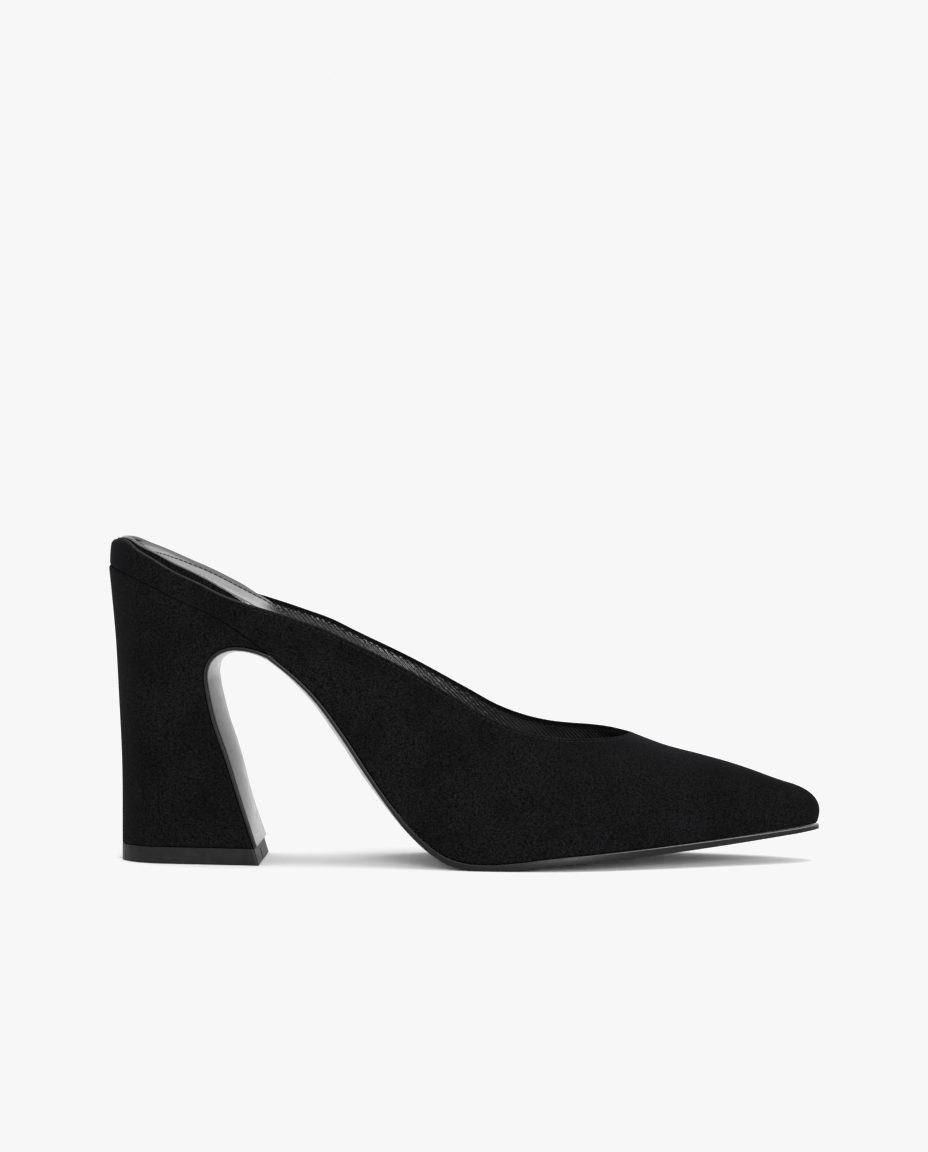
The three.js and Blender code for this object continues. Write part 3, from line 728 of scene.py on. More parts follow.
@dataclass
class Upper:
    """Suede skin, leather lining and the stitching that joins them along the top edge."""

    suede_thick: float = 1.0
    ease: float = 0.05
    lining_below: float = 1.2
    rows: int = 64
    tuck: float = 0.45
    tuck_over: float = 0.9
    stitch_below: float = 1.45
    groove: float = 0.16
    groove_wide: float = 0.45
    groove_ends: tuple[float, float] = (44.0, 52.0)
    # Painted highlight along the suede's folded top edge: how much it fades forward of the heel seat and over
    # which places, its strength and depth down the outer face, and where and how wide it peaks round the
    # turned edge.
    highlight_drop: float = 0.75
    highlight_drops_over: tuple[float, float] = (46.0, 56.0)
    highlight_face: float = 0.3
    highlight_deep: float = 0.12
    crest_at: float = 0.3
    crest_wide: float = 0.07
    rim_drops: tuple[float, float] = (42.0, 52.0)
    rim_back: float = 0.35
    rim_comes: tuple[float, float] = (38.0, 50.0)
    crinkle: float = 0.1
    loose_from: tuple[float, float] = (50.0, 62.0)
    crinkle_ends: tuple[float, float] = (112.0, 150.0)
    roll: float = 1.1
    roll_ends: tuple[float, float] = (84.0, 124.0)
    roll_swells: tuple[float, float] = (0.4, 3.6)
    roll_sinks: tuple[float, float] = (4.5, 11.0)

    def rim(self, at: Floats, side: Floats, up: Floats) -> Rim:
        """The rim of a wall where it is cut off, with the way off its edge square to its run and to the wall.

        Args:
            at: places of the sections along the rim, in order.
            side: their sides.
            up: how far up each is cut.

        Returns:
            The rim.
        """
        place, out = LAST.point(at, side, up), LAST.normal(at, side, up)
        run = np.gradient(place, axis=0)
        backwards = unit(LAST.point(at - 0.05, side, up) - place)
        away = unit(np.cross(out, run))
        aim = unit(LAST.rise(at, side, up)) + 0.5 * np.array([-1.0, 0.0, 0.0])
        away = np.where(((away * aim).sum(-1) < 0)[:, None], -away, away)
        return Rim(place, out, np.where((at >= LAST.throat)[:, None], backwards, away))

    def depth_below(self, at: Floats, side: Floats, up: Floats, top: Floats) -> Floats:
        """Distance down the wall from the top edge to each point, for a grid of sections by rows."""
        pace = np.linalg.norm(LAST.rise(at, side, np.minimum(top, LAST.most_up)), axis=-1)
        return (top - up) * pace

    def suede(self) -> Piece:
        """The suede skin: tucked in at the feather line, and turned over at the top edge.

        The outer face is the last's, less a quarter circle of tuck above the feather line and a shallow
        groove under the stitches. The inner face lies one thickness inside it.

        Returns:
            The skin.
        """
        at, side = LAST.ring()
        top = LAST.edge(at, side, self.suede_thick / 2)
        a, s, t = at[:, None], side[:, None], top[:, None]
        up = t * crowded(self.rows)
        place, out = LAST.point(a, s, up), LAST.normal(a, s, up)
        over = up * np.linalg.norm(LAST.rise(a, s, np.full_like(t, 0.01)), axis=-1)
        tucked = self.tuck * (1 - round_end(over, self.tuck_over))
        below = self.depth_below(a, s, up, t)
        open_here = smooth(0, 3, LAST.throat - a) * smooth(*self.groove_ends, a)
        off = (below + self.suede_thick / 2 - self.stitch_below) / self.groove_wide
        groove = self.groove * np.exp(-(off**2))
        lean = LAST.lean(a, below)
        skin = place - out * (tucked + groove * open_here + lean)[..., None]
        skin[:, -1] = place[:, -1] - out[:, -1] * lean[:, -1:]
        inner_up = t * crowded(26)
        inside_lean = LAST.lean(a, self.depth_below(a, s, inner_up, t))[..., None]
        inside = LAST.point(a, s, inner_up) - LAST.normal(a, s, inner_up) * (self.suede_thick + inside_lean)
        inside[..., 2] = np.maximum(inside[..., 2], skin[:, :1, 2])
        inside[:, 0, 2] = skin[:, 0, 2]
        behind = at <= LAST.throat
        rim = self.rim(at[behind], side[behind], top[behind])
        turned = turned_edge(skin[behind, -1], inside[behind, -1], rim.away)
        # Painted highlight: a thin paler line under the top edge and round the crest of its turn, full round
        # the heel seat and faint in front.
        shine = 1 - self.highlight_drop * smooth(*self.highlight_drops_over, a)
        worn = self.highlight_face * np.exp(-((below / self.highlight_deep) ** 2)) * (a < LAST.throat) * shine
        cloth = Sheaf("upper_suede").add(skin, worn).add(inside)
        crest = np.exp(-(((np.linspace(0, 1, turned.shape[1]) - self.crest_at) / self.crest_wide) ** 2))
        cloth.add(turned, shine[behind] * crest).add(np.stack([skin[:, 0], inside[:, 0]], axis=1))
        return cloth.build()

    def lining(self) -> Piece:
        """The lining: it stands above the suede round the heel seat, and stops short of its fold in front.

        Its inner face has slanting crinkles, a sum of three sharpened sines that fades out at the edges, and
        hangs loose in a roll under the edge, which swells and sinks by smooth steps of the distance below it.

        Returns:
            The lining.
        """
        at, side = LAST.ring()
        low_by = self.lining_below * smooth(*self.rim_drops, at)
        top = np.where(at >= LAST.throat, 1, LAST.edge(at, side, low_by, rim=True))
        a, s, t = at[:, None], side[:, None], top[:, None]
        outer_up = t * crowded(30)
        close = self.suede_thick + self.ease + self.rim_back * (1 - smooth(*self.rim_comes, a))
        close = close + LAST.lean(a, self.depth_below(a, s, outer_up, t) - LAST.rim(a))
        outer = LAST.point(a, s, outer_up) - LAST.normal(a, s, outer_up) * close[..., None]
        up = t * crowded(self.rows - 8, 0.8)
        place, out = LAST.point(a, s, up), LAST.normal(a, s, up)
        deep = LAST.wall(a) + 0 * up
        below = self.depth_below(a, s, up, t)
        slant = a + 0.9 * below
        waves = np.sin(slant * 1.9 + 1.3 * np.sin(below * 0.45 + a * 0.11))
        waves = waves + 0.6 * np.sin(slant * 3.3 - 1.1 + 0.8 * np.sin(a * 0.31))
        waves = waves + 0.5 * np.sin((a - 1.6 * below) * 1.2 + 2.0)
        loose = smooth(*self.loose_from, a)
        where = loose * (1 - smooth(*self.crinkle_ends, a)) * smooth(0.3, 2.0, below)
        deep = deep + self.crinkle * (np.abs(waves) - 0.8) * where * smooth(0, 0.1, up)
        roll = smooth(*self.roll_swells, below) * (1 - smooth(*self.roll_sinks, below))
        deep = deep + self.roll * loose * (1 - smooth(*self.roll_ends, a)) * roll
        inner = place - out * (deep + LAST.lean(a, below - LAST.rim(a)))[..., None]
        base = LAST.feather(a) + 0.3
        outer[..., 2] = np.maximum(outer[..., 2], base)
        inner[..., 2] = np.maximum(inner[..., 2], base)
        outer[:, 0, 2] = inner[:, 0, 2] = base[:, 0]
        behind = at <= LAST.throat
        rim = self.rim(at[behind], side[behind], top[behind])
        turned = turned_edge(outer[behind, -1], inner[behind, -1], rim.away)
        seat = np.where(at[:-1] < LAST.seat_end, 2, 0)
        cloth = Sheaf("upper_lining").add(outer, cover=1).add(inner, cover=seat)
        cloth.add(turned, cover=np.where(at[behind][:-1] < LAST.seat_end, 2, 1))
        return cloth.add(np.stack([outer[:, 0], inner[:, 0]], axis=1)).build()

    def stitch_path(self, through: float) -> Path:
        """The line of the top edge's stitches, from one side of the heel seat round the V to the other.

        Args:
            through: how deep in the wall it lies: 0 on the outer face, 1 on the inner.

        Returns:
            Its points and the way out of the wall at each.
        """
        at, side = LAST.ring()
        top = LAST.edge(at, side, self.suede_thick / 2)
        on = (at <= LAST.throat) & (at >= LAST.seat_end)
        order = np.concatenate([np.flatnonzero(on & (side > 0)), np.flatnonzero(on & (side < 0))])
        rim = self.rim(at[order], side[order], top[order])
        down = self.stitch_below - self.suede_thick / 2
        deep = through * (LAST.wall(at[order]) + 0.02) + (1 - through) * self.groove * 0.7
        place = rim.place - rim.away * down - rim.out * deep[:, None]
        return Path(place, rim.out * (1 - 2 * through))

    def make(self, looks: "Finishes") -> None:
        """Builds, dresses and reports the upper's pieces.

        Args:
            looks: the shoe's materials.
        """
        finish_piece(self.suede(), [looks.suede], "suede", "upper")
        finish_piece(self.lining(), [looks.lining, looks.suede, looks.sock], "sock_leather")
        thread = Stitching(thick=0.32)
        outer = thread.sew("topline_stitches", self.stitch_path(0), self.stitch_path(1))
        finish_piece(outer, [looks.thread], "suede")


# ---------------------------------------------------------------- the insole


@dataclass
class Insole:
    """The covered insole: a plate cupped under the foot, with a stitched pad at the heel seat."""

    seat_top: Curve = column(SEAT, "top")
    seat_cup: Curve = column(SEAT, "cup")
    columns: int = 110
    corner: float = 0.7
    corner_steps: int = 6
    most_lean: float = 0.6
    clear: float = 1.4
    stitch_inset: float = 3.0
    stitch_back: float = 12.5
    stitch_front: float = 66.0
    stitch_round: float = 20.0
    stitch_points: int = 181
    groove: float = 0.28
    groove_wide: float = 0.6
    roll: float = 0.55
    roll_over: float = 3.0
    roll_ends: tuple[float, float] = (44.0, 54.0)

    def inside(self, at: Floats, side: Floats, height: Floats) -> Floats:
        """Points on the inside of the upper's wall, with a gap to it, at given heights.

        Args:
            at: places along the last.
            side: sides of the foot.
            height: how high each point lies.

        Returns:
            The points.
        """
        up = LAST.share(at, height, LAST.most_up)
        away = LAST.normal(at, side, up)
        away[..., 2] = 0
        lean = np.maximum(self.most_lean, np.cos(up * np.pi / 2))
        back = LAST.lean(at, np.maximum(LAST.topline(at, side) - height, 0))
        shift = -LAST.wall(at) / lean - self.clear * GAP - back
        points = LAST.point(at, side, up) + unit(away) * shift[..., None]
        points[..., 2] = height
        return points

    def edge(self, at: Floats, side: Floats) -> tuple[Floats, Floats]:
        """The top and low corner of the insole's edge at each section.

        Args:
            at: places along the last.
            side: sides of the foot.

        Returns:
            The top corners, and the low ones.
        """
        height = self.seat_top(at)
        for _ in range(4):
            height = self.seat_top(self.inside(at, side, height)[..., 0])
        low = self.inside(at, side, LAST.feather(at) + GAP * LAST.steepness(at))
        low[..., 2] = LAST.feather(low[..., 0]) + GAP * LAST.steepness(low[..., 0])
        return self.inside(at, side, height), low

    def pad_half(self, at: Floats, half: Floats) -> Floats:
        """Half the breadth between the rows of stitches: an inset from the edge, rounded off at the back."""
        return (half - self.stitch_inset) * round_end(at - self.stitch_back, self.stitch_round)

    def sock(self) -> Piece:
        """The insole and its leather sock.

        The top is the edges' height less a cup of 1 - across to the fourth power, so that it rolls up towards
        its edges, and a groove follows the stitches. A quarter circle rounds each top corner.

        Returns:
            The piece.
        """
        at = LAST.stations()
        (top_a, low_a), (top_b, low_b) = (self.edge(at, side + 0 * at) for side in (-1.0, 1.0))
        for ends in (top_b, low_b):
            ends[[0, -1]] = (top_a if ends is top_b else low_a)[[0, -1]]
        span = np.linalg.norm(top_b - top_a, axis=-1)[:, None]
        corner = np.minimum(self.corner, span / 4)
        inward = unit(top_b - top_a)[:, None]
        t = (1 - np.cos(np.linspace(0, np.pi, self.columns + 1)))[None] / 2
        t = (corner + t * (span - 2 * corner)) / np.maximum(span, 1e-9)
        across = 2 * t - 1
        broad = np.clip(span / FULL_SPAN, 0, 1)
        top = top_a[:, None] + (top_b - top_a)[:, None] * t[..., None]
        top[..., 2] -= self.seat_cup(top[..., 0]) * broad * (1 - across**4)
        half = span / 2
        x = top[..., 0]
        rolled = (1 - smooth(*self.roll_ends, x)) * broad
        rolled = rolled * (1 - smooth(0, self.roll_over, half * (1 - np.abs(across))))
        top[..., 2] += self.roll * rolled
        off = np.abs(np.abs(across) * half - self.pad_half(x, half))
        shown = smooth(0, 2, x - self.stitch_back) * (1 - smooth(-2, 2, x - self.stitch_front))
        top[..., 2] -= self.groove * np.exp(-((off / self.groove_wide) ** 2)) * shown * broad
        turn = np.linspace(0, np.pi / 2, self.corner_steps)[None, :, None]
        drop = np.array([0.0, 0.0, 1.0]) * corner[..., None]

        def corner_of(low: Floats, way: Floats, end: Floats) -> Floats:
            """The side of the plate from its low corner up and round onto its top face."""
            up = end[:, None] - way * corner[..., None] * np.cos(turn) - drop * (1 - np.sin(turn))
            return np.concatenate([low[:, None], up], axis=1)

        first = corner_of(low_a, inward, top[:, 0])
        last = corner_of(low_b, -inward, top[:, -1])
        first[[0, -1], 1:] = top[[0, -1], :1]
        last[[0, -1], 1:] = top[[0, -1], -1:]
        u = np.linspace(0, 1, 13)[None]
        low = low_a[:, None] + (low_b - low_a)[:, None] * u[..., None]
        low_broad = np.clip(np.linalg.norm(low_b - low_a, axis=-1)[:, None] / FULL_SPAN, 0, 1)
        bulge = low_broad * (1 - (2 * u - 1) ** 2)
        sag = LAST.under(low[..., 0], bulge) + GAP * LAST.steepness(low[..., 0])
        low[:, 1:-1, 2] = sag[:, 1:-1]
        return Sheaf("insole_sock").add(top).add(first).add(last).add(low).build()

    def stitch_path(self) -> Path:
        """The row of stitches: forward on both sides of a rounded back, on the sock's own height.

        Returns:
            Its points and the way up from the sock at each.
        """
        at = LAST.stations()
        edge = self.edge(at, np.ones_like(at))[0]
        t = np.linspace(-1, 1, self.stitch_points)
        x = self.stitch_back + (self.stitch_front - self.stitch_back) * t**2
        half = np.interp(x, edge[::-1, 0], edge[::-1, 1] - LAST.plan_middle(edge[::-1, 0]))
        pad = self.pad_half(x, half)
        across = pad / half
        z = self.seat_top(x) - self.seat_cup(x) * (1 - across**4) - self.groove * 0.75
        place = stack(x, LAST.plan_middle(x) + np.sign(t) * pad, z)
        back = len(t) // 2
        run = np.gradient(x)
        run[back] = 1
        out = unit(stack(-np.gradient(self.seat_top(x)) / run, 0 * x, 1 + 0 * x))
        out[back] = out[back - 1]
        return Path(place, out)

    def make(self, looks: "Finishes") -> None:
        """Builds, dresses and reports the insole's pieces.

        Args:
            looks: the shoe's materials.
        """
        finish_piece(self.sock(), [looks.sock], "sock_leather", "insole")
        stitches = Stitching(pitch=1.9, length=1.6, thick=0.5).sew("insole_stitches", self.stitch_path())
        finish_piece(stitches, [looks.thread], "sock_leather")


# ---------------------------------------------------------------- the arch, outsole and heel


@dataclass(frozen=True)
class ArchLine:
    """The outsole's edge round the arch, seen from the side: a centripetal Catmull-Rom curve, from 0 to 1."""

    square_from: float = 0.24
    sway: float = 0.6
    half: Curve = Curve.through(np.linspace(0, 1, len(ARCH)), [row.half for row in ARCH])
    crown: Curve = Curve.through(np.linspace(0, 1, len(ARCH)), [row.crown for row in ARCH])

    def place(self, along: Floats) -> Floats:
        """Points of the curve; each stretch between table rows is a cubic with chord-root spacing.

        Args:
            along: shares of the way along the table's rows.

        Returns:
            Points in the shoe's middle plane.
        """
        p = np.array([(row.at, row.z) for row in ARCH])
        p = np.concatenate([2 * p[:1] - p[1:2], p, 2 * p[-1:] - p[-2:-1]])
        d = np.linalg.norm(np.diff(p, axis=0), axis=-1, keepdims=True) ** 0.5
        s = np.clip(along, 0, 1) * (len(ARCH) - 1)
        i = np.minimum(s.astype(int), len(ARCH) - 2)
        t = (s - i)[..., None]
        a, b, c, e = p[i], p[i + 1], p[i + 2], p[i + 3]
        da, db, dc = d[i], d[i + 1], d[i + 2]
        go = ((b - a) / da - (c - a) / (da + db) + (c - b) / db) * db
        come = ((c - b) / db - (e - b) / (db + dc) + (e - c) / dc) * db
        cubic = b + go * t + (3 * (c - b) - 2 * go - come) * t**2 + (2 * (b - c) + go + come) * t**3
        return stack(cubic[..., 0], 0 * along, cubic[..., 1])

    def out(self, along: Floats) -> Floats:
        """The way off the heel into the open arch, square to the curve."""
        run = unit(self.place(np.minimum(along + 1e-4, 1)) - self.place(np.maximum(along - 1e-4, 0)))
        return stack(-run[..., 2], 0 * along, run[..., 0])

    def middle(self, along: Floats) -> Floats:
        """How far the arch's middle lies off the heel's axis."""
        return LAST.plan_middle(np.array(LAST.tip)) * np.clip(1 - along / self.sway, 0, 1) ** 2

    def crowning(self, along: Floats) -> Floats:
        """Which way and how deep it is crowned: straight down at the tip, then square to itself.

        Args:
            along: shares of the way along.

        Returns:
            How the middle of each row moves.
        """
        out = self.out(along)
        upright = (along < self.square_from)[..., None]
        down = np.array([0.0, 0.0, -1.0])
        deep = self.crown(along)[..., None] / np.where(upright, np.maximum(0.7, -out[..., 2:]), 1)
        return np.where(upright, down, out) * deep


ARCH_LINE = ArchLine()


def bowed(start: Floats, end: Floats, count: int, shape: Floats) -> Floats:
    """Rows of points from start to end, moved by shape times 1 - across squared, less on a short row.

    Args:
        start: first point of each row.
        end: last point of each row.
        count: faces along a row.
        shape: how far the middle of a full row moves.

    Returns:
        Points, rows by places along them.
    """
    t = np.linspace(0, 1, count + 1)[None, :, None]
    broad = np.clip(np.linalg.norm(end - start, axis=-1) / FULL_SPAN, 0, 1)[:, None, None]
    return start[:, None] * (1 - t) + end[:, None] * t + shape[:, None] * broad * (1 - (2 * t - 1) ** 2)


@dataclass
class Outsole:
    """The leather sole: flat under the forepart, then up the shank, round the arch and down the breast."""

    welt: float = 0.7
    welt_from: float = 92.0
    welt_full: float = 118.0
    welt_least: float = 0.15
    shank_thick: float = 1.1
    corner: float = 0.3
    corner_share: float = 0.35
    # Painted highlight on the edge's upper corner: its least share under the ball, the stretch over which it
    # comes up to full at the toe, and the places round the edge that carry it.
    edge_highlight_least: float = 0.12
    edge_highlight_from: tuple[float, float] = (140.0, 205.0)
    edge_highlight_places: tuple[int, ...] = (2, 3, 4)
    columns: int = 32
    arch_rows: int = 110

    def welt_line(self, at: Floats, side: float) -> Floats:
        """The edge in plan: the last's outline, standing out by the welt under the forepart.

        Args:
            at: places along the last.
            side: side of the foot.

        Returns:
            Points in plan.
        """
        grown = (at - self.welt_from) / (self.welt_full - self.welt_from)
        stand = self.welt * np.clip(grown, self.welt_least, 1)
        ahead = np.stack(LAST.outline(np.minimum(at + 0.05, LAST.length), side), -1)
        along = ahead - np.stack(LAST.outline(at - 0.05, side), -1)
        away = unit(np.stack([-along[..., 1], along[..., 0]], -1)) * side
        line = np.stack(LAST.outline(at, side), -1) + away * stand[..., None]
        tip = np.stack([LAST.length + stand, LAST.plan_middle(at)], -1)
        return np.where((at >= LAST.length)[..., None], tip, line)

    def shank(self, at: Floats, distance: Floats) -> Floats:
        """Rows across the forepart and shank, at a distance down from the face that the sole carries.

        Args:
            at: places along the last, one for each row.
            distance: how far down each row lies.

        Returns:
            Points, rows by places across.
        """
        down = unit(stack(LAST.slope(at), 0 * at, -1 + 0 * at)) * distance[..., None]
        t = np.linspace(0, 1, self.columns + 1)[None, :, None]
        a, b = self.welt_line(at, -1.0), self.welt_line(at, 1.0)
        plan = a[:, None] * (1 - t) + b[:, None] * t
        broad = np.clip(np.linalg.norm(b - a, axis=-1) / FULL_SPAN, 0, 1)[:, None]
        bulge = broad * (1 - (2 * t[..., 0] - 1) ** 2)
        return stack(plan[..., 0], plan[..., 1], LAST.under(plan[..., 0], bulge)) + down[:, None]

    def arch(self, distance: float) -> Floats:
        """Rows round the arch and down the breast, at a distance out from the edge line's face.

        Args:
            distance: how far out the rows lie.

        Returns:
            Points, rows by places across.
        """
        along = np.linspace(0, 1, self.arch_rows + 1)
        way = ARCH_LINE.place(along) + ARCH_LINE.out(along) * distance
        way[:, 1] += ARCH_LINE.middle(along)
        half = stack(0 * along, ARCH_LINE.half(along), 0 * along)
        return bowed(way - half, way + half, self.columns, ARCH_LINE.crowning(along))

    def sole(self) -> Piece:
        """The outsole, its edges rounded top and bottom by quarter circles.

        Returns:
            The piece.
        """
        at = LAST.stations()
        at = at[at > LAST.tip]
        half_gap = GAP / 2
        top = np.concatenate([self.shank(at, half_gap + 0 * at), self.arch(half_gap)])
        front = self.shank(at, half_gap + LAST.sole(at))
        front[..., 2] = np.maximum(front[..., 2], 0)
        low = np.concatenate([front, self.arch(half_gap + self.shank_thick)])
        sheaf = Sheaf("outsole_leather").add(top[:, 1:-1]).add(low[:, 1:-1])
        for k, nxt in ((0, 1), (-1, -2)):
            edge = self.rounded(top[:, k], low[:, k], top[:, nxt], low[:, nxt])
            # Painted highlight along the edge's upper corner, faint under the ball and full at the toe.
            edge_highlight = self.edge_highlight_least + (1 - self.edge_highlight_least) * smooth(*self.edge_highlight_from, edge[:, :1, 0])
            places = np.arange(edge.shape[1])[None]
            sheaf.add(edge, edge_highlight * np.isin(places, self.edge_highlight_places), cover=1)
        end = np.stack([top[-1], low[-1]], axis=0)
        return sheaf.add(end[:, 1:-1]).build()

    def rounded(self, top: Floats, low: Floats, top_in: Floats, low_in: Floats) -> Floats:
        """The edge from the top face round to the low one, with a rounded corner at each.

        Args:
            top: the top corner of each row.
            low: its low corner.
            top_in: the next point in on the top face.
            low_in: the next point in on the low face.

        Returns:
            Points, rows by places round the edge.
        """
        thick = np.linalg.norm(low - top, axis=-1, keepdims=True)
        r = np.minimum(self.corner, thick * self.corner_share)
        down = (unit(low - top) * r)[:, None]
        turn = np.linspace(0, np.pi / 2, 5)[None, :, None]
        sin, cos = 1 - np.sin(turn), 1 - np.cos(turn)
        inward_top = np.minimum(r, np.linalg.norm(top_in - top, axis=-1, keepdims=True)) * unit(top_in - top)
        inward_low = np.minimum(r, np.linalg.norm(low_in - low, axis=-1, keepdims=True)) * unit(low_in - low)
        first = top[:, None] + inward_top[:, None] * sin + down * cos
        last = low[:, None] + inward_low[:, None] * cos - down * sin
        return np.concatenate([top_in[:, None], first, last, low_in[:, None]], axis=1)

    def make(self, looks: "Finishes") -> None:
        """Builds, dresses and reports the outsole."""
        finish_piece(self.sole(), [looks.sole, looks.sole_edge], "sole_leather", "outsole")


@dataclass
class Heel:
    """The flared block heel in its suede cover, and the rubber top lift under it."""

    cover: float = 0.4
    lift_height: float = 5.7
    tip_back: float = 1.0
    tip_along: float = 0.04
    flare: float = 2.2
    lift_front: float = 52.1
    lift_round: float = 15.0
    lift_behind: float = 16.4
    lift_before: float = 22.2
    lift_rake: float = 1.6
    crowding: float = 0.6
    around: int = 72
    rows: int = 130
    across: int = 24
    lift_rows: int = 36
    lift_around: int = 60
    lift_across: int = 160
    bevel: float = 0.45
    top_bevel: float = 0.225
    nail_across: float = -1.8
    nail_up: float = 2.2
    nail_wide: float = 1.3
    nail_deep: float = 1.2
    tuck: float = 0.5
    tuck_over: float = 0.9
    tuck_ends: tuple[float, float] = (0.55, 0.85)
    heart: float = 20.0
    back: Curve = column(HEEL_BACK, "at", "z")

    def along(self, t: Floats) -> Floats:
        """Share of the way along the heel, crowded at its rounded back."""
        return t * t * (1 + self.crowding - self.crowding * t)

    def lift_point(self, t: Floats, side: float, z: Floats, inset: Floats = 0.0) -> Floats:
        """The lift's plan, from its rounded back (0) to its raked front edge (1), drawn in by an inset.

        Args:
            t: shares of the way from back to front.
            side: side of the foot.
            z: height of each point.
            inset: how far each point is drawn in.

        Returns:
            The points.
        """
        front = self.lift_front - self.lift_rake * z / self.lift_height - inset
        start = LAST.lift_back + inset
        at = start + (front - start) * self.along(t)
        round_to = LAST.lift_back + self.lift_round
        widen = (at - round_to) / (self.lift_front - round_to)
        half = self.lift_behind + (self.lift_before - self.lift_behind) * widen
        return stack(at, side * (half - inset) * round_end(at - start, self.lift_round), z)

    def side_face(self, side: float) -> Floats:
        """One side of the heel: a Coons patch between lift, seam, back and the breast's edge.

        Its breadth goes from the lift's to the seam's by the height's power of flare.

        Args:
            side: the side of the foot.

        Returns:
            Points, from back to front by from lift to seam.
        """
        t, v = np.linspace(0, 1, self.around + 1)[:, None], np.linspace(0, 1, self.rows + 1)[None]
        low = self.lift_height + GAP
        along = 1 - v * (1 - self.tip_along)
        edge = ARCH_LINE.place(along) - ARCH_LINE.out(along) * GAP
        front = edge + stack(0, ARCH_LINE.middle(along) + side * ARCH_LINE.half(along), 0 * v)
        front[:, 0, 2] = low
        foot_x = ARCH_LINE.place(np.ones((1, 1)))[..., 0] - GAP / 2
        bottom = self.lift_point(t, side, low + 0 * t)
        bottom[..., 0] = LAST.lift_back + (foot_x - LAST.lift_back) * self.along(t)
        at = (LAST.tip - self.tip_back) * self.along(t)
        stand = self.cover * (1 - self.along(t))
        z = LAST.feather(at) - GAP / 2 * LAST.steepness(at)
        seam = stack(at - stand * (1 - t), LAST.outline(at, side)[1] + side * stand, z)
        rear_z = low + (seam[:1, :, 2] - low) * v
        rear = stack(self.back(rear_z), 0 * v, rear_z)
        s = self.along(t)[..., None]
        w = v[..., None]
        corners = (bottom[:1] * (1 - s) + bottom[-1:] * s) * (1 - w)
        corners = corners + (seam[:1] * (1 - s) + seam[-1:] * s) * w
        patch = bottom * (1 - w) + seam * w + rear * (1 - s) + front * s - corners
        up = v**self.flare
        breadth = bottom[..., 1] * (1 - up) + seam[..., 1] * up
        to_front = front[..., 1] / (bottom[-1:, :, 1] * (1 - up) + seam[-1:, :, 1] * up)
        patch[..., 1] = breadth * (1 + (to_front - 1) * s[..., 0])
        return patch + self.tucked(patch)

    def tucked(self, patch: Floats) -> Floats:
        """How the cover is drawn in under the seam: a quarter circle, towards the heel's own middle.

        Args:
            patch: one side's points, from back to front by from lift to seam.

        Returns:
            How each point moves.
        """
        below = np.linalg.norm(patch[:, -1:] - patch, axis=-1)
        drawn = self.tuck * (1 - round_end(below, self.tuck_over))
        drawn *= 1 - smooth(*self.tuck_ends, np.linspace(0, 1, self.around + 1))[:, None]
        inwards = unit(stack(self.heart - patch[..., 0], -patch[..., 1], 0 * below))
        inwards[-1] *= 0
        return inwards * drawn[..., None]

    def block(self) -> Piece:
        """The heel block in its cover: two sides, the seat, the breast and the base.

        Returns:
            The piece.
        """
        faces = [self.side_face(-1.0), self.side_face(1.0)]
        faces[1][0] = faces[0][0]
        outer, inner = faces
        x = outer[:, -1, 0]
        down = stack(0 * x, 0 * x, -LAST.crown(x) * LAST.steepness(x))
        seat = bowed(outer[:, -1], inner[:, -1], self.across, down)
        along = 1 - np.linspace(0, 1, self.rows + 1) * (1 - self.tip_along)
        breast = bowed(outer[-1], inner[-1], self.across, ARCH_LINE.crowning(along))
        breast[0, :, 2] = self.lift_height + GAP
        breast[-1] = seat[-1]
        base = bowed(outer[:, 0], inner[:, 0], self.across, 0 * outer[:, 0])
        base[-1] = breast[0]
        sheaf = Sheaf("heel_cover").add(outer).add(inner)
        return sheaf.add(seat).add(breast).add(base).build()

    def lift(self) -> Piece:
        """The top lift: its plan carried up, bevelled top and bottom, with a nail's dimple in its front face.

        Returns:
            The piece.
        """
        turn = np.linspace(0, np.pi / 2, 5)
        sin, cos = 1 - np.sin(turn), 1 - np.cos(turn)
        inset = np.concatenate([self.bevel * sin, self.top_bevel * cos])
        rise = np.concatenate([self.bevel * cos, self.lift_height - self.top_bevel * sin])
        level, known = np.linspace(0, 1, self.lift_rows + 1), np.linspace(0, 1, len(rise))
        heights, insets = np.interp(level, known, rise), np.interp(level, known, inset)
        t = np.linspace(0, 1, self.lift_around + 1)[:, None]
        outer, inner = (self.lift_point(t, side, heights[None], insets[None]) for side in (-1.0, 1.0))
        inner[0] = outer[0]
        u = np.linspace(0, 1, self.lift_across + 1)[None, :, None]
        front = outer[-1][:, None] * (1 - u) + inner[-1][:, None] * u
        away = np.hypot(front[..., 1] - self.nail_across, front[..., 2] - self.nail_up)
        front[..., 0] -= self.nail_deep * (1 - smooth(self.nail_wide * 0.6, self.nail_wide, away))
        sheaf = Sheaf("top_lift_rubber").add(outer).add(inner).add(front)
        for k in (0, -1):
            sheaf.add(outer[:, k, None] * (1 - u) + inner[:, k, None] * u)
        return sheaf.build()

    def make(self, looks: "Finishes") -> None:
        """Builds, dresses and reports the heel's pieces."""
        finish_piece(self.block(), [looks.suede], "suede", "heel_block")
        finish_piece(self.lift(), [looks.rubber], "lift_rubber", "top_lift")


# ---------------------------------------------------------------- finishes


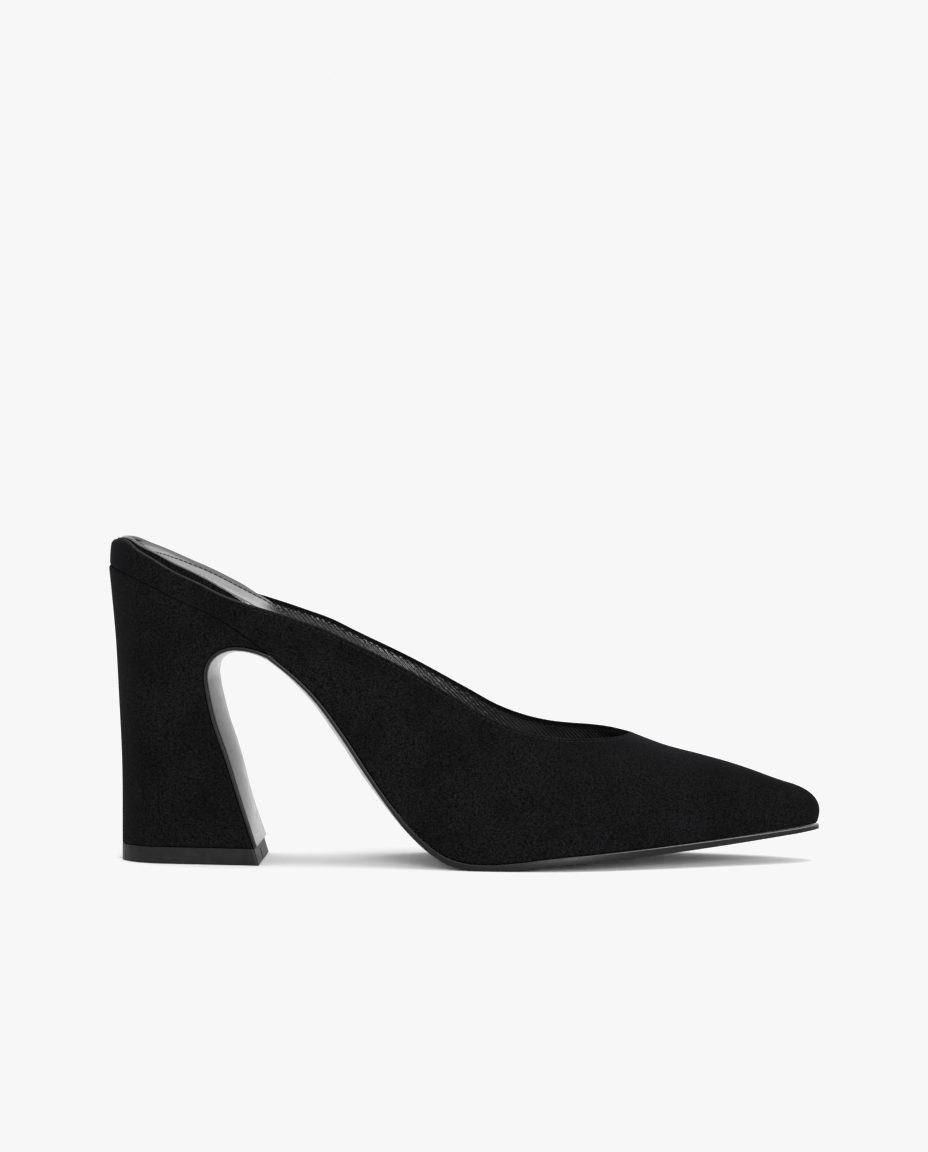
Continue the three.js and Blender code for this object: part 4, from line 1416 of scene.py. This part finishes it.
class Weave:
    """A material's node tree, with short ways to add what the finishes share."""

    wave_scale = 0.314

    def __init__(self, name: str) -> None:
        """Starts a material that reads Object coordinates, in millimetres.

        Args:
            name: the material's name.
        """
        self.material = bpy.data.materials.new(name)
        self.material.use_nodes = True
        self.nodes, self.links = self.material.node_tree.nodes, self.material.node_tree.links
        self.shader = self.nodes["Principled BSDF"]
        coordinates = self.nodes.new("ShaderNodeTexCoord")
        scale = self.nodes.new("ShaderNodeMapping")
        scale.inputs["Scale"].default_value = (1 / MM,) * 3
        self.links.new(coordinates.outputs["Object"], scale.inputs["Vector"])
        self.place = scale.outputs["Vector"]

    def turned(self, scale: Sequence[float], turn: Sequence[float] = (0, 0, 0)) -> Socket:
        """The place scaled and turned, for a pattern that runs one way.

        Args:
            scale: how much the place is stretched along each axis.
            turn: turns about the axes, in radians.

        Returns:
            The place to read a pattern at.
        """
        node = self.nodes.new("ShaderNodeMapping")
        node.inputs["Scale"].default_value = scale
        node.inputs["Rotation"].default_value = turn
        self.links.new(self.place, node.inputs["Vector"])
        return node.outputs["Vector"]

    def noise(self, size: float, detail: float = 4, where: Optional[Socket] = None) -> Socket:
        """Noise whose patches are about size millimetres wide.

        Args:
            size: breadth of a patch.
            detail: how many finer layers it has.
            where: the place to read it at, if turned.

        Returns:
            The noise, from 0 to 1.
        """
        node = self.nodes.new("ShaderNodeTexNoise")
        node.inputs["Scale"].default_value = 1 / size
        node.inputs["Detail"].default_value = detail
        self.links.new(where or self.place, node.inputs["Vector"])
        return node.outputs["Fac"]

    def grain(self, size: float) -> Socket:
        """Pebbles about size millimetres wide: distance to the nearest of scattered points.

        Args:
            size: breadth of a pebble.

        Returns:
            The distance, from 0 up.
        """
        node = self.nodes.new("ShaderNodeTexVoronoi")
        node.inputs["Scale"].default_value = 1 / size
        self.links.new(self.place, node.inputs["Vector"])
        return node.outputs["Distance"]

    def waves(self, size: float, where: Socket, wander: float) -> Socket:
        """Bands about size millimetres apart that wander.

        Args:
            size: distance between bands.
            where: the place to read them at.
            wander: how far they stray.

        Returns:
            The bands, from 0 to 1.
        """
        node = self.nodes.new("ShaderNodeTexWave")
        node.inputs["Scale"].default_value = self.wave_scale / size
        node.inputs["Distortion"].default_value = wander
        node.inputs["Detail"].default_value = 3
        self.links.new(where, node.inputs["Vector"])
        return node.outputs["Fac"]

    def spread(self, value: Socket, low: float, high: float, to: Sequence[float] = (0, 1)) -> Socket:
        """A value's stretch from low to high spread over another range, and held there.

        Args:
            value: the value.
            low: where the stretch starts.
            high: where it ends.
            to: the range that it is spread over.

        Returns:
            The spread value.
        """
        node = self.nodes.new("ShaderNodeMapRange")
        for name, number in zip(("From Min", "From Max", "To Min", "To Max"), (low, high, *to)):
            node.inputs[name].default_value = number
        self.links.new(value, node.inputs["Value"])
        return node.outputs["Result"]

    def join(self, kind: str, a: Socket, b: Socket) -> Socket:
        """Two values added, multiplied or the like.

        Args:
            kind: the sum's name in Blender.
            a: the first value.
            b: the second.

        Returns:
            The result.
        """
        node = self.nodes.new("ShaderNodeMath")
        node.operation = kind
        self.links.new(a, node.inputs[0])
        self.links.new(b, node.inputs[1])
        return node.outputs[0]

    def blend(self, by: Socket, low: Colour, high: Colour) -> Socket:
        """A colour between two, by a value from 0 to 1.

        Args:
            by: the value.
            low: colour at 0.
            high: colour at 1.

        Returns:
            The colour.
        """
        node = self.nodes.new("ShaderNodeValToRGB")
        for stop, colour in zip(node.color_ramp.elements, (low, high)):
            stop.color = (*colour, 1)
        self.links.new(by, node.inputs["Fac"])
        return node.outputs["Color"]

    def worn(self) -> Socket:
        """How strongly a highlight is painted on the surface, from the mesh.

        Returns:
            The mesh's painted highlight, from 0 to 1.
        """
        node = self.nodes.new("ShaderNodeAttribute")
        node.attribute_name = HIGHLIGHT_ATTRIBUTE
        return node.outputs["Fac"]

    def bump(self, *layers: tuple[Socket, float, float]) -> None:
        """Lays bumps over each other.

        Args:
            layers: height, depth in millimetres and strength of each.
        """
        below = None
        for height, deep, strength in layers:
            node = self.nodes.new("ShaderNodeBump")
            node.inputs["Distance"].default_value = deep * MM
            node.inputs["Strength"].default_value = strength
            self.links.new(height, node.inputs["Height"])
            if below is not None:
                self.links.new(below, node.inputs["Normal"])
            below = node.outputs["Normal"]
        self.links.new(below, self.shader.inputs["Normal"])

    def set(self, **sockets: float | Sequence[float]) -> None:
        """Sets the shader's own sockets, named with _ for a space."""
        for name, value in sockets.items():
            self.shader.inputs[name.replace("_", " ")].default_value = value

    def link(self, value: Socket, name: str) -> None:
        """Leads a value into one of the shader's sockets."""
        self.links.new(value, self.shader.inputs[name])


@dataclass(frozen=True)
class Suede:
    """Black suede: a short nap that lies in patches, with a little sheen and a painted highlight along its
    folded edge.
    """

    dark: Colour = (0.0008, 0.0008, 0.0008)
    light: Colour = (0.0080, 0.0078, 0.0086)
    # Colour of the painted highlight on the folded top edge.
    fold: Colour = (0.080, 0.079, 0.078)
    patch: float = 16.0
    nap: float = 0.5
    fibre: float = 0.2

    def make(self) -> Material:
        """Makes the black suede.

        Returns:
            Nap and patches by noise, and the fold's painted highlight from the mesh's attribute.
        """
        w = Weave("black_suede")
        brushed = w.turned((0.8, 1.0, 1.0), (0, 0.5, 0))
        patches = w.spread(w.noise(self.patch, 3), 0.35, 0.65, (0.6, 1.0))
        nap = w.noise(self.nap, 4, brushed)
        tone = w.join("MULTIPLY", patches, w.spread(nap, 0.36, 0.66))
        cloth = w.blend(tone, self.dark, self.light)
        # The painted highlight's colour is mixed in by the mesh's attribute.
        mix = w.nodes.new("ShaderNodeMix")
        mix.data_type = "RGBA"
        w.links.new(w.worn(), mix.inputs["Factor"])
        w.links.new(cloth, mix.inputs["A"])
        mix.inputs["B"].default_value = (*self.fold, 1)
        w.link(mix.outputs["Result"], "Base Color")
        w.link(w.spread(nap, 0.3, 0.7, (0.85, 1.0)), "Roughness")
        w.set(Specular_IOR_Level=0.02, Sheen_Weight=0.012, Sheen_Roughness=0.5, Sheen_Tint=(0.85, 0.9, 1, 1))
        w.bump((nap, 0.12, 0.6), (w.noise(self.fibre, 2, brushed), 0.05, 0.5))
        return w.material


@dataclass(frozen=True)
class Leather:
    """Smooth black leather with a fine grain; crinkled where it lines the upper."""

    name: str
    dark: Colour = (0.010, 0.010, 0.0105)
    light: Colour = (0.022, 0.021, 0.021)
    rough: tuple[float, float] = (0.17, 0.27)
    grain: float = 0.5
    grain_deep: float = 0.012
    crinkle: float = 0.0
    gloss: float = 0.5

    def make(self) -> Material:
        """Makes the leather.

        Returns:
            Clouded colour, patchy gloss, and grain and crinkles as bumps.
        """
        w = Weave(self.name)
        cloudy = w.noise(9.0, 5)
        fine = w.grain(self.grain)
        w.link(w.blend(w.spread(cloudy, 0.3, 0.7), self.dark, self.light), "Base Color")
        w.link(w.spread(w.noise(3.0, 6), 0.3, 0.7, self.rough), "Roughness")
        w.set(Specular_IOR_Level=self.gloss, IOR=1.5)
        layers = [(fine, self.grain_deep, 0.6), (w.noise(5.0, 3), 0.05, 0.25)]
        if self.crinkle:
            slanting = w.turned((1.0, 0.3, 1.0), (0, 0.75, 0))
            layers.append((w.waves(1.0, slanting, 4.0), self.crinkle, 0.9))
            layers.append((w.noise(0.9, 3, slanting), self.crinkle * 0.5, 0.8))
        w.bump(*layers)
        return w.material


LINING_LEATHER = Leather("lining_leather", rough=(0.2, 0.3), crinkle=0.2, gloss=0.4)
SOCK_LEATHER = Leather("sock_leather", (0.020, 0.020, 0.021), (0.042, 0.041, 0.041), (0.12, 0.2), gloss=1.0)
SOLE_LEATHER = Leather("sole_leather", (0.004, 0.004, 0.004), (0.009, 0.009, 0.009), grain=0.35)


@dataclass(frozen=True)
class SoleEdge:
    """The sole's painted edge, with a painted highlight along its upper corner."""

    paint: Colour = (0.004, 0.004, 0.004)
    # Colour of the painted highlight on the edge's upper corner.
    edge_highlight: Colour = (0.16, 0.16, 0.16)

    def make(self) -> Material:
        """Makes the edge paint.

        Returns:
            Edge paint with a painted highlight along its upper corner, from the mesh's attribute broken up by
            noise.
        """
        w = Weave("sole_edge_paint")
        # Painted highlight: the mesh's attribute, broken up by noise, lightens the paint.
        highlit = w.join("MULTIPLY", w.worn(), w.spread(w.noise(1.6, 4), 0.3, 0.6, (0.55, 1.0)))
        w.link(w.blend(highlit, self.paint, self.edge_highlight), "Base Color")
        w.link(w.spread(w.noise(0.9, 4), 0.3, 0.7, (0.3, 0.42)), "Roughness")
        w.set(Specular_IOR_Level=0.16)
        w.bump((w.noise(0.6, 3, w.turned((0.3, 0.3, 1.0))), 0.02, 0.5))
        return w.material


@dataclass(frozen=True)
class Rubber:
    """Matt black rubber with fine moulding grain."""

    dark: Colour = (0.005, 0.005, 0.005)
    light: Colour = (0.010, 0.010, 0.0105)

    def make(self) -> Material:
        """Makes the rubber.

        Returns:
            Clouded colour, with moulding lines as bumps.
        """
        w = Weave("black_rubber")
        w.link(w.blend(w.spread(w.noise(2.5, 6), 0.3, 0.7), self.dark, self.light), "Base Color")
        w.link(w.spread(w.noise(1.2, 4), 0.3, 0.7, (0.42, 0.6)), "Roughness")
        w.set(Specular_IOR_Level=0.14)
        scored = w.noise(0.5, 3, w.turned((0.12, 0.12, 1.6)))
        w.bump((scored, 0.03, 0.5), (w.noise(0.25, 2), 0.015, 0.5))
        return w.material


@dataclass(frozen=True)
class Thread:
    """Twisted black thread with a slight gloss."""

    dark: Colour = (0.003, 0.003, 0.003)
    light: Colour = (0.018, 0.018, 0.020)

    def make(self) -> Material:
        """Makes the thread.

        Returns:
            Colour and bumps that follow the twist.
        """
        w = Weave("black_thread")
        twist = w.waves(0.16, w.turned((1, 1, 1), (0.6, 0.7, 0.5)), 1.0)
        w.link(w.blend(twist, self.dark, self.light), "Base Color")
        w.link(w.spread(w.noise(0.3, 2), 0.3, 0.7, (0.7, 0.9)), "Roughness")
        w.set(Specular_IOR_Level=0.05)
        w.bump((twist, 0.03, 0.6))
        return w.material


@dataclass
class Finishes:
    """Every material of the shoe."""

    suede: Material = field(default_factory=Suede().make)
    lining: Material = field(default_factory=LINING_LEATHER.make)
    sock: Material = field(default_factory=SOCK_LEATHER.make)
    sole: Material = field(default_factory=SOLE_LEATHER.make)
    sole_edge: Material = field(default_factory=SoleEdge().make)
    rubber: Material = field(default_factory=Rubber().make)
    thread: Material = field(default_factory=Thread().make)


# ---------------------------------------------------------------- the studio


@dataclass
class Studio:
    """A pale floor under plain soft light, and the camera."""

    floor_size: float = 12.0
    floor_white: float = 0.95
    sky: float = 1.07
    paper: float = 0.93
    lamps: tuple[tuple[str, tuple[float, float, float], float, float], ...] = (
        ("overhead", (0.1, 0.1, 1.6), 1.4, 10),
        ("low_front", (0.45, -1.5, 0.34), 0.8, 30),
    )
    camera_at: tuple[float, float, float] = (0.085, -2.0, 0.208)
    camera_aim: tuple[float, float, float] = (0.0, 0.0, 0.0967)
    lens: float = 184.9

    def floor(self) -> Piece:
        """The floor: a flat sheet with the faintest mottle.

        Returns:
            The floor.
        """
        h = self.floor_size / 2
        mesh = bpy.data.meshes.new("floor")
        mesh.from_pydata([(-h, -h, 0), (h, -h, 0), (h, h, 0), (-h, h, 0)], [], [(0, 1, 2, 3)])
        floor = bpy.data.objects.new("floor", mesh)
        bpy.context.scene.collection.objects.link(floor)
        w = Weave("white_floor")
        w.link(w.blend(w.noise(40, 3), (self.floor_white * 0.99,) * 3, (self.floor_white,) * 3), "Base Color")
        w.set(Roughness=0.9, Specular_IOR_Level=0.0)
        mesh.materials.append(w.material)
        return floor

    def lamp(self, name: str, at: Sequence[float], size: float, power: float) -> None:
        """A square soft lamp that points at the shoe's middle.

        Args:
            name: the lamp's name.
            at: where it stands, in metres.
            size: its side, in metres.
            power: its power, in watts.
        """
        light = bpy.data.lights.new(name, "AREA")
        light.shape, light.size, light.energy = "SQUARE", size, power
        lamp = bpy.data.objects.new(name, light)
        lamp.location = at
        lamp.rotation_euler = (Vector((0, 0, 0.05)) - Vector(at)).to_track_quat("-Z", "Y").to_euler()
        bpy.context.scene.collection.objects.link(lamp)

    def make(self) -> None:
        """Builds the floor, the white surroundings, two lamps, the camera and the paper-white tone curve."""
        self.floor()
        world = bpy.data.worlds.new("white_room")
        world.use_nodes = True
        background = world.node_tree.nodes["Background"]
        background.inputs["Color"].default_value = (1, 1, 1, 1)
        background.inputs["Strength"].default_value = self.sky
        scene = bpy.context.scene
        scene.world = world
        for lamp in self.lamps:
            self.lamp(*lamp)
        scene.view_settings.view_transform = "Standard"
        scene.view_settings.use_curve_mapping = True
        tone = scene.view_settings.curve_mapping
        tone.extend = "HORIZONTAL"
        tone.curves[3].points[-1].location = (1.0, self.paper)
        tone.update()
        camera = bpy.data.objects.new("camera", bpy.data.cameras.new("camera"))
        camera.data.lens = self.lens
        camera.data.clip_start, camera.data.clip_end = 0.05, 50
        camera.location = self.camera_at
        way = Vector(self.camera_aim) - Vector(self.camera_at)
        camera.rotation_euler = way.to_track_quat("-Z", "Y").to_euler()
        scene.collection.objects.link(camera)
        scene.camera = camera


def main() -> None:
    """Builds the shoe and its studio in order."""
    logging.basicConfig(level=logging.INFO, format="%(name)s: %(message)s")
    looks = Finishes()
    for part in (Upper(), Insole(), Outsole(), Heel()):
        LOG.info("building %s", type(part).__name__)
        part.make(looks)
    Studio().make()


if __name__ == "__main__":
    main()
